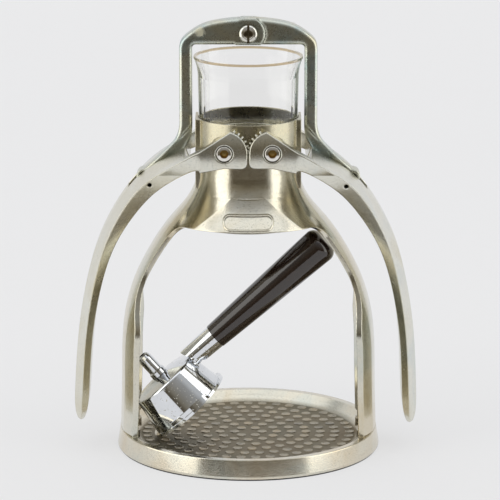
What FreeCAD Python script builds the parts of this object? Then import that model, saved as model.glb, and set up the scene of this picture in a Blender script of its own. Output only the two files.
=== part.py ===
import FreeCAD
import Part
import Sketcher
import math
import os
import re

from FreeCAD import Placement, Rotation, Vector

# Hand-lever coffee press: a trumpet-shaped casting on a dished base, two geared lever arms,
# an arch of two links over a clear cup with its piston, and a loose filter holder in the frame.
# Millimetres. The origin is the centre of the resting face, +Z is up, -Y is the front.

doc = FreeCAD.newDocument("hand_lever_press")
sheet = doc.addObject("Spreadsheet::Sheet", "sizes")

SIZES = {
    # base casting and its rubber ring
    "base_height": 13.0,
    "base_flare": 1.8,
    "base_top_radius": 83.0,
    "base_lip": 1.2,
    "base_rim_width": 4.2,
    "dish_slope": 7.8,
    "dish_floor": 7.0,
    "base_shell": 3.0,
    "foot_height": 1.0,
    "foot_groove": 2.0,
    "foot_width": 3.6,
    "foot_inset": 0.8,
    # bell: heights and radii of its outer curve, from foot to neck
    "foot_setback": 0.2,
    "shin_height": 45.0,
    "shin_inset": 0.9,
    "knee_drop": 96.0,
    "knee_inset": 2.8,
    "hip_drop": 72.0,
    "hip_inset": 9.1,
    "belly_drop": 52.0,
    "belly_flare": 31.0,
    "brow_drop": 32.0,
    "brow_flare": 17.5,
    "throat_drop": 17.0,
    "throat_flare": 5.3,
    "neck_length": 34.6,
    "neck_wall": 0.9,
    "collar_top": 216.6,
    "bell_wall": 3.2,
    "roof_rise": 9.0,
    "panel_shift": 9.0,
    "panel_ratio": 0.87,
    "panel_rise": 8.0,
    # legs: half depth of each at heights from the foot up to the arch
    "arch_cover": 3.0,
    "arch_round": 8.0,
    "leg_half_depth": 33.0,
    "leg_taper_drop": 72.6,
    "leg_calf_drop": 56.6,
    "leg_calf_half": 28.6,
    "leg_waist_drop": 44.6,
    "leg_waist_half": 24.4,
    "leg_upper_drop": 30.6,
    "leg_upper_half": 22.2,
    "pad_rise": 0.6,
    "pad_half_width": 13.0,
    "pad_length": 44.6,
    # bosses where the legs are screwed to the base
    "boss_inset": 7.4,
    "boss_offset_depth": 14.0,
    "boss_radius": 4.2,
    "boss_length": 18.0,
    "base_screw_radius": 2.0,
    "base_screw_head": 3.8,
    "base_screw_head_height": 2.6,
    "base_screw_reach": 13.0,
    # plain raised badge on the bell
    "badge_length": 32.0,
    "badge_width": 9.0,
    "badge_rise": 6.4,
    "badge_proud": 0.5,
    "badge_sunk": 0.8,
    "badge_border": 0.9,
    "badge_field": 0.05,
    # pressure cylinder under the cup
    "bore_radius": 25.0,
    "sleeve_wall": 1.6,
    "sleeve_length": 48.4,
    "cup_recess": 11.2,
    "sleeve_step": 2.0,
    "sleeve_flange_height": 1.4,
    # brew head that takes the filter holder
    "head_screw_margin": 3.6,
    "head_depth": 6.4,
    "head_plate": 3.0,
    "head_step": 1.0,
    "mouth_clearance": 0.6,
    "claw_length": 2.6,
    "claw_height": 1.8,
    "claw_angle": 26.0,
    "head_screw_inset": 3.6,
    "head_screw_radius": 1.5,
    "head_screw_head": 2.6,
    "head_screw_head_height": 2.0,
    "head_screw_reach": 9.0,
    "head_screw_count": 3,
    "gasket_play": 0.5,
    "gasket_width": 4.0,
    "gasket_height": 2.6,
    "screen_play": 0.6,
    "screen_height": 0.8,
    "screen_gap": 1.6,
    "screen_hole_radius": 1.0,
    "water_hole_radius": 1.2,
    "water_hole_circle": 14.0,
    "water_hole_count": 8,
    "screen_screw_radius": 2.0,
    "screen_screw_head": 4.2,
    # clear cup, the tube under it and its bridge to the links
    "cup_radius": 31.7,
    "cup_taper": 0.6,
    "cup_flare": 2.6,
    "cup_wall": 2.0,
    "cup_lift": 0.4,
    "cup_floor_wall": 2.6,
    "cup_round": 5.0,
    "cup_flare_height": 12.7,
    "cup_depth": 47.3,
    "cup_clearance": 0.4,
    "tube_inset": 1.8,
    "tube_wall": 2.4,
    "piston_height": 8.6,
    "bridge_inset": 2.4,
    "bridge_depth": 3.6,
    "bridge_rise": 5.0,
    "bridge_beam": 9.6,
    "bridge_leg_width": 4.9,
    # piston on the end of the tube
    "piston_clearance": 0.4,
    "piston_set_in": 1.4,
    "piston_web": 2.6,
    "piston_spigot": 6.0,
    "seal_height": 2.8,
    "seal_depth": 2.2,
    "seal_lift": 0.5,
    "seal_clearance": 0.05,
    "valve_radius": 9.0,
    "valve_thickness": 1.0,
    "valve_stem_radius": 1.6,
    "valve_port_radius": 1.5,
    "valve_port_circle": 5.6,
    "valve_port_count": 6,
    # links of the arch
    "link_half_depth": 6.0,
    "link_gap": 0.7,
    "link_width": 8.2,
    "arch_rise": 9.6,
    "arch_drop": 7.1,
    "arch_crown_mid_x": 16.0,
    "arch_crown_mid_drop": 1.2,
    "arch_shoulder_inset": 13.3,
    "arch_shoulder_drop": 5.0,
    "arch_corner_inset": 3.8,
    "arch_corner_drop": 11.5,
    "arch_side_drop": 20.0,
    "link_inner_corner": 2.4,
    "link_straight_rise": 13.5,
    "link_edge_round": 2.2,
    "knuckle_radius": 10.6,
    "lap_gap": 0.3,
    "tongue_half_depth": 3.8,
    "tail_radius": 4.6,
    "pin_play": 5.1,
    "pin_slack": 0.85,
    "top_screw_rise": 14.7,
    "top_screw_radius": 2.5,
    "top_screw_head": 6.0,
    "top_screw_head_height": 2.2,
    "top_screw_slot": 1.5,
    "top_nut_radius": 3.9,
    # lever arms
    "pivot_offset": 15.1,
    "pivot_drop": 16.1,
    "pivot_boss_radius": 8.5,
    "pivot_boss_rise": 1.9,
    "arm_gap": 0.3,
    "arm_thickness": 8.1,
    "gear_set_back": 3.6,
    "gear_teeth": 30,
    "tooth_rise": 0.85,
    "tooth_root": 1.1,
    "tooth_share": 0.4,
    "gear_lash": 1.2,
    "plate_inset": 0.7,
    "plate_corner": 3.6,
    "plate_drop": 9.3,
    "yoke_clearance_radius": 25.4,
    "slot_half_width": 6.5,
    "slot_reach": 14.4,
    "slot_drop": 60.0,
    "arm_pin_reach": 46.5,
    "arm_pin_drop": 22.2,
    "arm_pin_radius": 1.45,
    "arm_pin_half_length": 26.0,
    "pin_clearance": 0.05,
    "crown_half_width": 7.0,
    # pivot bolts and bushes
    "bolt_head_radius": 5.0,
    "bolt_head_height": 3.9,
    "bolt_head_play": 0.55,
    "bolt_sunk": 0.2,
    "bolt_shoulder": 3.0,
    "bolt_thread_radius": 2.5,
    "bolt_thread_length": 7.5,
    "bolt_socket": 5.0,
    "bush_wall": 1.0,
    "bush_clearance": 0.05,
    # filter holder, in its own frame: mouth at zero, axis up, handle along +X
    "holder_radius": 23.0,
    "holder_foot": 26.6,
    "holder_height": 26.0,
    "holder_dome": 2.8,
    "holder_wall": 1.8,
    "holder_side": 1.4,
    "flange_radius": 28.8,
    "flange_height": 1.8,
    "lug_height": 4.6,
    "lug_angle": 48.0,
    "lug_inset": 0.8,
    "notch_depth": 2.6,
    "notch_angle": 115.0,
    "nozzle_radius": 4.6,
    "nozzle_length": 17.0,
    "nozzle_bore": 2.4,
    "nozzle_step": 0.8,
    "handle_drop": 2.4,
    "ferrule_lap": 5.5,
    "ferrule_length": 26.5,
    "ferrule_small": 7.2,
    "ferrule_large": 8.0,
    "ferrule_slant": 15.5,
    "ferrule_slant_top": -1.0,
    "handle_neck_radius": 4.6,
    "handle_neck_short": 14.5,
    "grip_length": 95.0,
    "grip_start_width": 16.6,
    "grip_start_depth": 18.0,
    "grip_end_width": 23.4,
    "grip_end_depth": 25.0,
    "grip_end_round": 6.0,
    "grip_mid_width": 20.4,
    "grip_mid_depth": 22.0,
    "rod_radius": 2.5,
    "rod_reach": 30.0,
    "rod_in_ferrule": 12.5,
    "basket_clearance": 0.9,
    "basket_wall": 0.6,
    "basket_depth": 20.0,
    "basket_inset": 1.8,
    "basket_hole_radius": 0.9,
    "spring_play": 0.1,
    "spring_turn": 320.0,
    "spring_depth": 6.0,
    # where the filter holder lies
    "holder_inset": 45.0,
    "holder_y": -10.0,
    "holder_lift": 20.3,
    "holder_tilt": 42.0,
}

# Sizes that follow from others, so that what fits together moves together
TIED = {
    "base_lip_radius": "base_top_radius + base_flare",
    "dish_radius": "base_top_radius - base_rim_width - dish_slope",
    "foot_radius": "base_top_radius - foot_setback",
    "shin_radius": "foot_radius - shin_inset",
    "knee_radius": "foot_radius - knee_inset",
    "hip_radius": "foot_radius - hip_inset",
    "belly_radius": "neck_radius + belly_flare",
    "brow_radius": "neck_radius + brow_flare",
    "throat_radius": "neck_radius + throat_flare",
    "neck_radius": "cup_radius + cup_clearance + neck_wall",
    "flare_height": "collar_top - neck_length",
    "throat_height": "flare_height - throat_drop",
    "brow_height": "flare_height - brow_drop",
    "belly_height": "flare_height - belly_drop",
    "hip_height": "flare_height - hip_drop",
    "knee_height": "flare_height - knee_drop",
    "roof_height": "sleeve_bottom + roof_rise",
    "panel_top": "flare_height + panel_rise",
    "arch_height": "head_bottom + arch_cover",
    "leg_upper_height": "arch_height - leg_upper_drop",
    "leg_waist_height": "arch_height - leg_waist_drop",
    "leg_calf_height": "arch_height - leg_calf_drop",
    "leg_taper_height": "arch_height - leg_taper_drop",
    "pad_reach": "neck_radius + pad_rise",
    "pad_bottom": "collar_top - pad_length",
    "boss_offset_side": "foot_radius - boss_inset",
    "badge_height": "brow_height + badge_rise",
    "sleeve_top": "collar_top - cup_recess",
    "sleeve_bottom": "sleeve_top - sleeve_length",
    "sleeve_flange": "bore_radius + sleeve_wall + sleeve_step",
    "head_shoulder": "sleeve_bottom - head_plate",
    "head_bottom": "head_shoulder - head_depth",
    "head_ring_bore": "flange_radius + mouth_clearance",
    "gasket_radius": "head_ring_bore - gasket_play",
    "gasket_bore": "gasket_radius - gasket_width",
    "screen_radius": "gasket_bore - screen_play",
    "claw_reach": "head_ring_bore - claw_length",
    "head_screw_circle": "head_ring_bore + head_screw_inset",
    "head_radius": "head_screw_circle + head_screw_margin",
    "head_plate_radius": "head_radius - head_step",
    "cup_upper_radius": "cup_radius + cup_taper",
    "cup_rim_radius": "cup_upper_radius + cup_flare",
    "cup_floor": "sleeve_top + cup_lift + cup_floor_wall",
    "cup_top": "cup_floor + cup_depth",
    "cup_flare_start": "cup_top - cup_flare_height",
    "tube_radius": "piston_radius - tube_inset",
    "tube_bottom": "piston_bottom + piston_height",
    "bridge_half_width": "cup_upper_radius - bridge_inset",
    "bridge_top": "top_screw_height + bridge_rise",
    "bridge_foot": "cup_floor + cup_round",
    "piston_radius": "bore_radius - piston_clearance",
    "piston_bottom": "sleeve_bottom + piston_set_in",
    "link_inner": "cup_rim_radius + link_gap",
    "link_outer": "link_inner + link_width",
    "arch_peak": "top_screw_height + arch_rise",
    "arch_underside": "top_screw_height - arch_drop",
    "arch_crown_mid_z": "arch_peak - arch_crown_mid_drop",
    "arch_shoulder_x": "link_outer - arch_shoulder_inset",
    "arch_shoulder_z": "arch_peak - arch_shoulder_drop",
    "arch_corner_x": "link_outer - arch_corner_inset",
    "arch_corner_z": "arch_peak - arch_corner_drop",
    "arch_side_z": "arch_peak - arch_side_drop",
    "link_straight_end": "pivot_height + link_straight_rise",
    "top_screw_height": "cup_top + top_screw_rise",
    "pivot_height": "collar_top - pivot_drop",
    "pivot_boss_face": "neck_radius + pivot_boss_rise",
    "arm_face": "pivot_boss_face + arm_thickness",
    "plate_radius": "pivot_offset - plate_inset",
    "plate_bottom": "pivot_height - plate_drop",
    "arm_pin_x": "pivot_offset + arm_pin_reach",
    "arm_pin_z": "pivot_height - arm_pin_drop",
    "slot_end": "arm_pin_x + slot_reach",
    "bolt_recess_radius": "bolt_head_radius + bolt_head_play",
    "bolt_thread_end": "pivot_boss_face - bolt_thread_length",
    "holder_bowl": "holder_radius - holder_side",
    "lug_reach": "flange_radius - lug_inset",
    "nozzle_collar": "nozzle_radius + nozzle_step",
    "handle_level": "holder_height - handle_drop",
    "ferrule_start": "holder_radius - ferrule_lap",
    "ferrule_end": "ferrule_start + ferrule_length",
    "grip_end": "ferrule_end + grip_length",
    "basket_radius": "holder_bowl - basket_clearance",
    "basket_flange": "flange_radius - basket_inset",
    "holder_x": "holder_inset - base_top_radius",
    "holder_z": "dish_floor + holder_lift",
}

# Arm sections from the fork to the tip: reach of the ridge beyond the pivot and its drop below it,
# height of the crown above the ridge, depth of the belly below it, how much narrower than the fork
# the half depth is at the ridge, and how far the belly edge is undercut.
ARM_SECTIONS = {
    "shoulder": (14.9, -1.2, 0.2, 13.7, 0.0, 0.0),
    "upper": (27.9, 6.5, 1.2, 8.6, 1.4, 2.0),
    "eye": (40.4, 14.3, 2.0, 8.8, 3.6, 4.0),
    "elbow": (51.7, 23.5, 2.6, 9.4, 6.4, 6.0),
    "forearm": (63.4, 39.5, 3.2, 8.6, 10.0, 7.0),
    "wrist": (74.5, 63.5, 4.2, 6.4, 14.0, 7.0),
    "palm": (82.1, 93.5, 4.9, 5.0, 17.5, 7.5),
    "grip": (86.3, 124.5, 5.2, 4.3, 20.0, 7.5),
    "heel": (88.3, 160.5, 5.2, 4.3, 22.5, 7.0),
    "cuff": (88.9, 175.5, 4.6, 3.7, 26.0, 6.0),
    "tip": (89.5, 184.5, 2.0, 1.6, 34.0, 3.0),
}
SECTION_FIELDS = ("reach", "drop", "crown", "sole", "narrowing", "undercut")
for section_name, measures in ARM_SECTIONS.items():
    for field, measure in zip(SECTION_FIELDS, measures):
        SIZES[section_name + "_" + field] = measure
    TIED[section_name + "_ridge_x"] = "pivot_offset + %s_reach" % section_name
    TIED[section_name + "_ridge_z"] = "pivot_height - %s_drop" % section_name
    TIED[section_name + "_half"] = "arm_face - %s_narrowing" % section_name

ALL_SIZES = list(SIZES) + list(TIED)
for row, alias in enumerate(ALL_SIZES, start=1):
    sheet.set("A%d" % row, alias)
    sheet.setAlias("B%d" % row, alias)
for row, alias in enumerate(ALL_SIZES, start=1):
    content = str(SIZES[alias]) if alias in SIZES else "=" + TIED[alias]
    sheet.set("B%d" % row, content)
doc.recompute()


def cell(formula):
    """Point every size name of a formula at the sheet."""
    return re.sub(r"[a-z_]+", lambda word: "sizes." + word[0] if word[0] in ALL_SIZES else word[0],
                  formula)


def size(formula):
    """Number that a formula of size names has now."""
    return float(sheet.evalExpression(cell(formula)))


def bind(target, name, formula):
    target.setExpression(name, cell(formula))


# Sketch and feature helpers


def new_body(label):
    body = doc.addObject("PartDesign::Body", label)
    body.Label = label
    return body


def origin_feature(body, role):
    return [item for item in body.Origin.OriginFeatures if item.Role == role][0]


def new_sketch(body, name, role, lift="0"):
    sketch = body.newObject("Sketcher::SketchObject", name)
    sketch.AttachmentSupport = [(origin_feature(body, role), "")]
    sketch.MapMode = "FlatFace"
    bind(sketch, "AttachmentOffset.Base.z", lift)
    return sketch


def pin_point(sketch, geometry, end, across, up):
    """Tie one point of a sketch to two formulas of sizes."""
    for kind, axis, formula in (("DistanceX", -2, across), ("DistanceY", -1, up)):
        if formula == "0":
            sketch.addConstraint(Sketcher.Constraint("PointOnObject", geometry, end, axis))
            continue
        index = sketch.addConstraint(
            Sketcher.Constraint(kind, -1, 1, geometry, end, size(formula)))
        bind(sketch, "Constraints[%d]" % index, formula)


def outline(body, name, role, corners, lift="0"):
    """Closed sketch of straight lines through corners given as formulas."""
    sketch = new_sketch(body, name, role, lift)
    points = [Vector(size(across), size(up), 0) for across, up in corners]
    for start, end in zip(points, points[1:] + points[:1]):
        sketch.addGeometry(Part.LineSegment(start, end))
    for index in range(len(points)):
        following = (index + 1) % len(points)
        sketch.addConstraint(Sketcher.Constraint("Coincident", index, 2, following, 1))
    for index, (across, up) in enumerate(corners):
        pin_point(sketch, index, 1, across, up)
    return sketch


def ring_sketch(body, name, role, circles, lift="0"):
    """Sketch of circles, each given as centre formulas and a radius formula."""
    sketch = new_sketch(body, name, role, lift)
    for across, up, radius in circles:
        index = sketch.addGeometry(
            Part.Circle(Vector(size(across), size(up), 0), Vector(0, 0, 1), size(radius)))
        pin_point(sketch, index, 3, across, up)
        measure = sketch.addConstraint(Sketcher.Constraint("Radius", index, size(radius)))
        bind(sketch, "Constraints[%d]" % measure, radius)
    return sketch


def revolve(body, name, corners, cut=False):
    """Turn an outline on the XZ plane about the Z axis."""
    sketch = outline(body, name + "_profile", "XZ_Plane", corners)
    kind = "PartDesign::Groove" if cut else "PartDesign::Revolution"
    feature = body.newObject(kind, name)
    feature.Profile = sketch
    feature.ReferenceAxis = (sketch, ["V_Axis"])
    feature.Angle = 360.0
    sketch.Visibility = False
    return feature


def pad(body, name, sketch, length, reverse=False):
    feature = body.newObject("PartDesign::Pad", name)
    feature.Profile = sketch
    bind(feature, "Length", length)
    feature.Reversed = reverse
    return feature


def pocket(body, name, sketch, length, upward=True):
    """Cut from the sketch towards +Z of the sketch when upward, else towards -Z."""
    feature = body.newObject("PartDesign::Pocket", name)
    feature.Profile = sketch
    bind(feature, "Length", length)
    feature.Reversed = upward
    return feature


def polar(body, name, originals, count):
    """Repeat features about the body's Z axis."""
    pattern = body.newObject("PartDesign::PolarPattern", name)
    pattern.Originals = originals
    pattern.Axis = (origin_feature(body, "Z_Axis"), [""])
    pattern.Angle = 360.0
    bind(pattern, "Occurrences", count)
    body.Tip = pattern
    return pattern


def free_shape(label, shape):
    """Sub-part whose shape is worked out from the sheet by the functions below."""
    feature = doc.addObject("Part::Feature", label)
    feature.Label = label
    feature.Shape = shape
    feature.Placement = shape.Placement
    return feature


# Solid helpers


def cylinder(radius, length, base, direction=Vector(0, 0, 1)):
    return Part.makeCylinder(radius, length, base, direction)


def block(low, high):
    span = Vector(*high) - Vector(*low)
    return Part.makeBox(span.x, span.y, span.z, Vector(*low))


def across_depth(wire, near, far):
    """Extrude a wire of the XZ plane from Y near to Y far."""
    face = Part.Face(wire)
    face.translate(Vector(0, near, 0))
    return face.extrude(Vector(0, far - near, 0))


def flat_polygon(points):
    corners = [Vector(x, 0, z) for x, z in points]
    return Part.makePolygon(corners + corners[:1])


def curve_through(points, first, last):
    """Smooth edge through points, with given directions at its ends."""
    spline = Part.BSplineCurve()
    spline.interpolate(Points=points, InitialTangent=first, FinalTangent=last)
    return spline.toShape()


def line(start, end):
    return Part.LineSegment(start, end).toShape()


def mirror_side(shape):
    """The same shape on the other side of the YZ plane."""
    return shape.mirror(Vector(0, 0, 0), Vector(1, 0, 0))


def fillet_edges(shape, radius, chosen):
    edges = [edge for edge in shape.Edges if chosen(edge)]
    return shape.makeFillet(radius, edges)


# Bell casting


def bell_solid(growth, shift, ratio, top):
    """Bell turned about an axis moved by shift in Y, its flare beyond the neck scaled."""
    rings = [("base_height", "foot_radius"), ("shin_height", "shin_radius"),
             ("knee_height", "knee_radius"), ("hip_height", "hip_radius"),
             ("belly_height", "belly_radius"), ("brow_height", "brow_radius"),
             ("throat_height", "throat_radius"), ("flare_height", "neck_radius")]
    neck_radius = size("neck_radius")
    reach = neck_radius + abs(shift) + growth
    points = [Vector(reach + (size(radius) - neck_radius) * ratio, 0, size(height))
              for height, radius in rings]
    flare = curve_through(points, Vector(-0.02, 0, 1), Vector(0, 0, 1))
    foot, neck = points[0], points[-1]
    head = Vector(neck.x, 0, top)
    edges = [line(Vector(0, 0, foot.z), foot), flare, line(neck, head),
             line(head, Vector(0, 0, top)), line(Vector(0, 0, top), Vector(0, 0, foot.z))]
    half = Part.Face(Part.Wire(edges))
    solid = half.revolve(Vector(0, 0, 0), Vector(0, 0, 1), 360)
    solid.translate(Vector(0, shift, 0))
    return solid


def panelled_bell(growth, top):
    """Bell whose front and rear are turned to a flatter curve, which leaves two creases."""
    reach = size("base_lip_radius") + 10
    low, high = size("base_height") - 1, size("panel_top")
    bell = bell_solid(growth, 0, 1, top)
    for side in (-1, 1):
        near, far = sorted((0, side * reach))
        flatter = bell_solid(growth, -side * size("panel_shift"), size("panel_ratio"), top)
        shaving = block((-reach, near, low), (reach, far, high)).cut(flatter)
        bell = bell.cut(shaving)
    return bell


def leg_openings():
    """Front and rear cuts that leave two tapered legs, rounded where they meet the arch."""
    foot, top, corner = size("base_height") - 1, size("arch_height"), size("arch_round")
    reach = size("base_lip_radius") + 5
    half, upper = size("leg_half_depth"), size("leg_upper_half")
    bend = corner * (1 - math.sqrt(0.5))

    def at(y, z):
        return Vector(-reach, y, z)

    up = Vector(0, 0, 1)
    taper = curve_through(
        [at(half, size("leg_taper_height")), at(size("leg_calf_half"), size("leg_calf_height")),
         at(size("leg_waist_half"), size("leg_waist_height")),
         at(upper, size("leg_upper_height"))], up, up)
    edges = [
        line(at(half, foot), at(half, size("leg_taper_height"))),
        taper,
        line(at(upper, size("leg_upper_height")), at(upper, top - corner)),
        Part.Arc(at(upper, top - corner), at(upper + bend, top - bend),
                 at(upper + corner, top)).toShape(),
        line(at(upper + corner, top), at(reach, top)),
        line(at(reach, top), at(reach, foot)),
        line(at(reach, foot), at(half, foot)),
    ]
    rear = Part.Face(Part.Wire(edges)).extrude(Vector(2 * reach, 0, 0))
    return rear.fuse(rear.mirror(Vector(0, 0, 0), Vector(0, 1, 0)))


def boss_places():
    side, depth = size("boss_offset_side"), size("boss_offset_depth")
    return [(x, y) for x in (-side, side) for y in (-depth, depth)]


def pill(length, width, near, far, height):
    """Pill-shaped bar along Y between near and far, centred on X at a height."""
    straight = (length - width) / 2
    bar = block((-straight, near, height - width / 2), (straight, far, height + width / 2))
    for x in (-straight, straight):
        bar = bar.fuse(cylinder(width / 2, far - near, Vector(x, near, height), Vector(0, 1, 0)))
    return bar.removeSplitter()


def badge_pill(inset):
    length, width = size("badge_length") - 2 * inset, size("badge_width") - 2 * inset
    return pill(length, width, -size("foot_radius"), -size("neck_radius") / 2, size("badge_height"))


def body_casting():
    top = size("collar_top")
    casting = panelled_bell(0, top)
    pads = block((-size("pad_reach"), -size("pad_half_width"), size("pad_bottom")),
                 (size("pad_reach"), size("pad_half_width"), top))
    casting = casting.fuse(pads)
    casting = casting.cut(panelled_bell(-size("bell_wall"), size("roof_height")))
    seat = cylinder(size("head_plate_radius"), size("roof_height - sleeve_bottom + 4"),
                    Vector(0, 0, size("sleeve_bottom")))
    casting = casting.fuse(seat)
    casting = casting.cut(leg_openings())
    for x, y in boss_places():
        boss = cylinder(size("boss_radius"), size("boss_length"), Vector(x, y, size("base_height")))
        casting = casting.fuse(boss)
    for x in (-size("pivot_offset"), size("pivot_offset")):
        for side in (-1, 1):
            boss = cylinder(size("pivot_boss_radius"), size("pivot_boss_face - tube_radius"),
                            Vector(x, side * size("tube_radius"), size("pivot_height")),
                            Vector(0, side, 0))
            casting = casting.fuse(boss)
    casting = casting.cut(casting_bores())
    casting = casting.cut(badge_recess())
    return casting.removeSplitter()


def casting_bores():
    """Bores for the sleeve and the cup, and threaded holes for bolts and screws."""
    top = size("collar_top")
    sleeve = size("bore_radius + sleeve_wall")
    ledge = size("sleeve_top - sleeve_flange_height")
    cup_bore = size("cup_radius + cup_clearance")
    bores = cylinder(sleeve, top, Vector(0, 0, size("sleeve_bottom") - 1))
    bores = bores.fuse(cylinder(size("sleeve_flange"), top, Vector(0, 0, ledge)))
    bores = bores.fuse(cylinder(cup_bore, top, Vector(0, 0, size("sleeve_top"))))
    for x in (-size("pivot_offset"), size("pivot_offset")):
        for side in (-1, 1):
            start = Vector(x, side * size("bolt_thread_end"), size("pivot_height"))
            length = size("pivot_boss_face - bolt_thread_end") + 1
            bores = bores.fuse(cylinder(size("bolt_thread_radius"), length, start,
                                        Vector(0, side, 0)))
    for x, y in boss_places():
        bores = bores.fuse(cylinder(size("base_screw_radius"), size("base_screw_reach") + 2,
                                    Vector(x, y, size("base_height"))))
    for x, y in head_screw_places():
        bores = bores.fuse(cylinder(size("head_screw_radius"), size("head_screw_reach"),
                                    Vector(x, y, size("sleeve_bottom"))))
    return bores


def badge_recess():
    """Shallow pill-shaped seat for the badge in the front of the bell."""
    inside = panelled_bell(-size("badge_sunk"), size("collar_top"))
    return badge_pill(0).cut(inside)


def badge_plate():
    """Bare pill-shaped plate with a raised border, following the bell's front."""
    top = size("collar_top")
    plate = badge_pill(0).common(panelled_bell(size("badge_proud"), top))
    plate = plate.cut(panelled_bell(-size("badge_sunk"), top))
    field = badge_pill(size("badge_border")).cut(panelled_bell(size("badge_field"), top))
    return plate.cut(field)


# Base casting


def make_base():
    body = new_body("base_casting")
    revolve(body, "base_turned", [
        ("0", "dish_floor"),
        ("dish_radius", "dish_floor"),
        ("base_top_radius - base_rim_width", "base_height"),
        ("base_top_radius", "base_height"),
        ("base_lip_radius", "foot_height + base_lip"),
        ("base_lip_radius", "foot_height"),
        ("base_lip_radius - foot_inset", "foot_height"),
        ("base_lip_radius - foot_inset", "foot_height + foot_groove"),
        ("base_lip_radius - foot_inset - foot_width", "foot_height + foot_groove"),
        ("base_lip_radius - foot_inset - foot_width", "foot_height"),
        ("base_lip_radius - foot_inset - foot_width - base_shell", "foot_height"),
        ("base_top_radius - base_rim_width - base_shell", "base_height - base_shell"),
        ("dish_radius", "dish_floor - base_shell"),
        ("0", "dish_floor - base_shell")])
    places = [(across, up) for across in ("boss_offset_side", "-boss_offset_side")
              for up in ("boss_offset_depth", "-boss_offset_depth")]
    posts = ring_sketch(body, "post_circles", "XY_Plane",
                        [(x, y, "base_screw_head + 1.6") for x, y in places],
                        "dish_floor - base_shell")
    pad(body, "posts", posts, "base_height - dish_floor + base_shell")
    holes = ring_sketch(body, "hole_circles", "XY_Plane",
                        [(x, y, "base_screw_radius + 0.1") for x, y in places])
    pocket(body, "holes", holes, "base_height + 1")
    heads = ring_sketch(body, "head_circles", "XY_Plane",
                        [(x, y, "base_screw_head + 0.2") for x, y in places])
    pocket(body, "head_recesses", heads, "base_height - base_shell")
    return body


def make_foot_ring():
    body = new_body("foot_ring")
    revolve(body, "ring_turned", [
        ("base_lip_radius - foot_inset - foot_width", "0"),
        ("base_lip_radius - foot_inset", "0"),
        ("base_lip_radius - foot_inset", "foot_height + foot_groove"),
        ("base_lip_radius - foot_inset - foot_width", "foot_height + foot_groove")])
    return body


# Screws and bolts


def pan_screw(radius, reach, head_radius, head_height):
    """Screw along +Z with its head below zero."""
    screw = cylinder(radius, reach, Vector(0, 0, 0))
    head = cylinder(head_radius, head_height, Vector(0, 0, -head_height))
    head = fillet_edges(head, head_height * 0.3, lambda edge: (
        abs(edge.CenterOfMass.z + head_height) < 0.01 and edge.Length > head_radius * 6))
    cross = block((-head_radius * 0.6, -0.4, -head_height - 1), (head_radius * 0.6, 0.4, -head_height * 0.4))
    turned = cross.copy()
    turned.rotate(Vector(0, 0, 0), Vector(0, 0, 1), 90)
    return screw.fuse(head).cut(cross).cut(turned).removeSplitter()


def placed(shape, position, rotation=None):
    copy = shape.copy()
    copy.Placement = Placement(Vector(*position), rotation or Rotation())
    return copy


def base_screws():
    seat = size("base_height - base_shell")
    screw = pan_screw(size("base_screw_radius"), size("base_shell + base_screw_reach"),
                      size("base_screw_head"), size("base_screw_head_height"))
    return Part.Compound([placed(screw, (x, y, seat)) for x, y in boss_places()])


def head_screw_places():
    count = int(size("head_screw_count"))
    circle = size("head_screw_circle")
    turns = [math.radians(90 + 360 * index / count) for index in range(count)]
    return [(circle * math.cos(turn), circle * math.sin(turn)) for turn in turns]


def brew_head_screws():
    seat = size("head_bottom + head_screw_head_height + 0.4")
    reach = size("sleeve_bottom + head_screw_reach") - seat - 1
    screw = pan_screw(size("head_screw_radius"), reach,
                      size("head_screw_head"), size("head_screw_head_height"))
    return Part.Compound([placed(screw, (x, y, seat)) for x, y in head_screw_places()])


def hexagon(across_flats):
    """Hexagon wire on the XY plane."""
    radius = across_flats / math.sqrt(3)
    turns = [math.radians(60 * index) for index in range(6)]
    corners = [Vector(radius * math.cos(turn), radius * math.sin(turn), 0) for turn in turns]
    return Part.makePolygon(corners + corners[:1])


def pivot_bolt():
    """Shoulder bolt along +Z, its head's outer face at zero."""
    head = size("bolt_head_height")
    shoulder = size("arm_face - bolt_sunk - pivot_boss_face") - head
    thread = size("pivot_boss_face - bolt_thread_end") - 0.4
    bolt = cylinder(size("bolt_head_radius"), head, Vector(0, 0, 0))
    bolt = bolt.makeFillet(0.6, [edge for edge in bolt.Edges if edge.CenterOfMass.z < 0.01
                                 and edge.Length > 10])
    bolt = bolt.fuse(cylinder(size("bolt_shoulder"), shoulder, Vector(0, 0, head)))
    bolt = bolt.fuse(cylinder(size("bolt_thread_radius"), thread, Vector(0, 0, head + shoulder)))
    socket = Part.Face(hexagon(size("bolt_socket"))).extrude(Vector(0, 0, head * 0.65))
    return bolt.cut(socket).removeSplitter()


def pivot_bolts():
    bolt = pivot_bolt()
    level = size("arm_face - bolt_sunk")
    bolts = []
    for x in (-size("pivot_offset"), size("pivot_offset")):
        for side in (-1, 1):
            turn = Rotation(Vector(0, 0, 1), Vector(0, -side, 0))
            bolts.append(placed(bolt, (x, side * level, size("pivot_height")), turn))
    return Part.Compound(bolts)


# Pressure cylinder and brew head


def make_sleeve():
    body = new_body("cylinder_sleeve")
    revolve(body, "sleeve_turned", [
        ("bore_radius", "sleeve_bottom"),
        ("bore_radius + sleeve_wall", "sleeve_bottom"),
        ("bore_radius + sleeve_wall", "sleeve_top - sleeve_flange_height"),
        ("sleeve_flange", "sleeve_top - sleeve_flange_height"),
        ("sleeve_flange", "sleeve_top"),
        ("bore_radius", "sleeve_top")])
    return body


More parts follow.
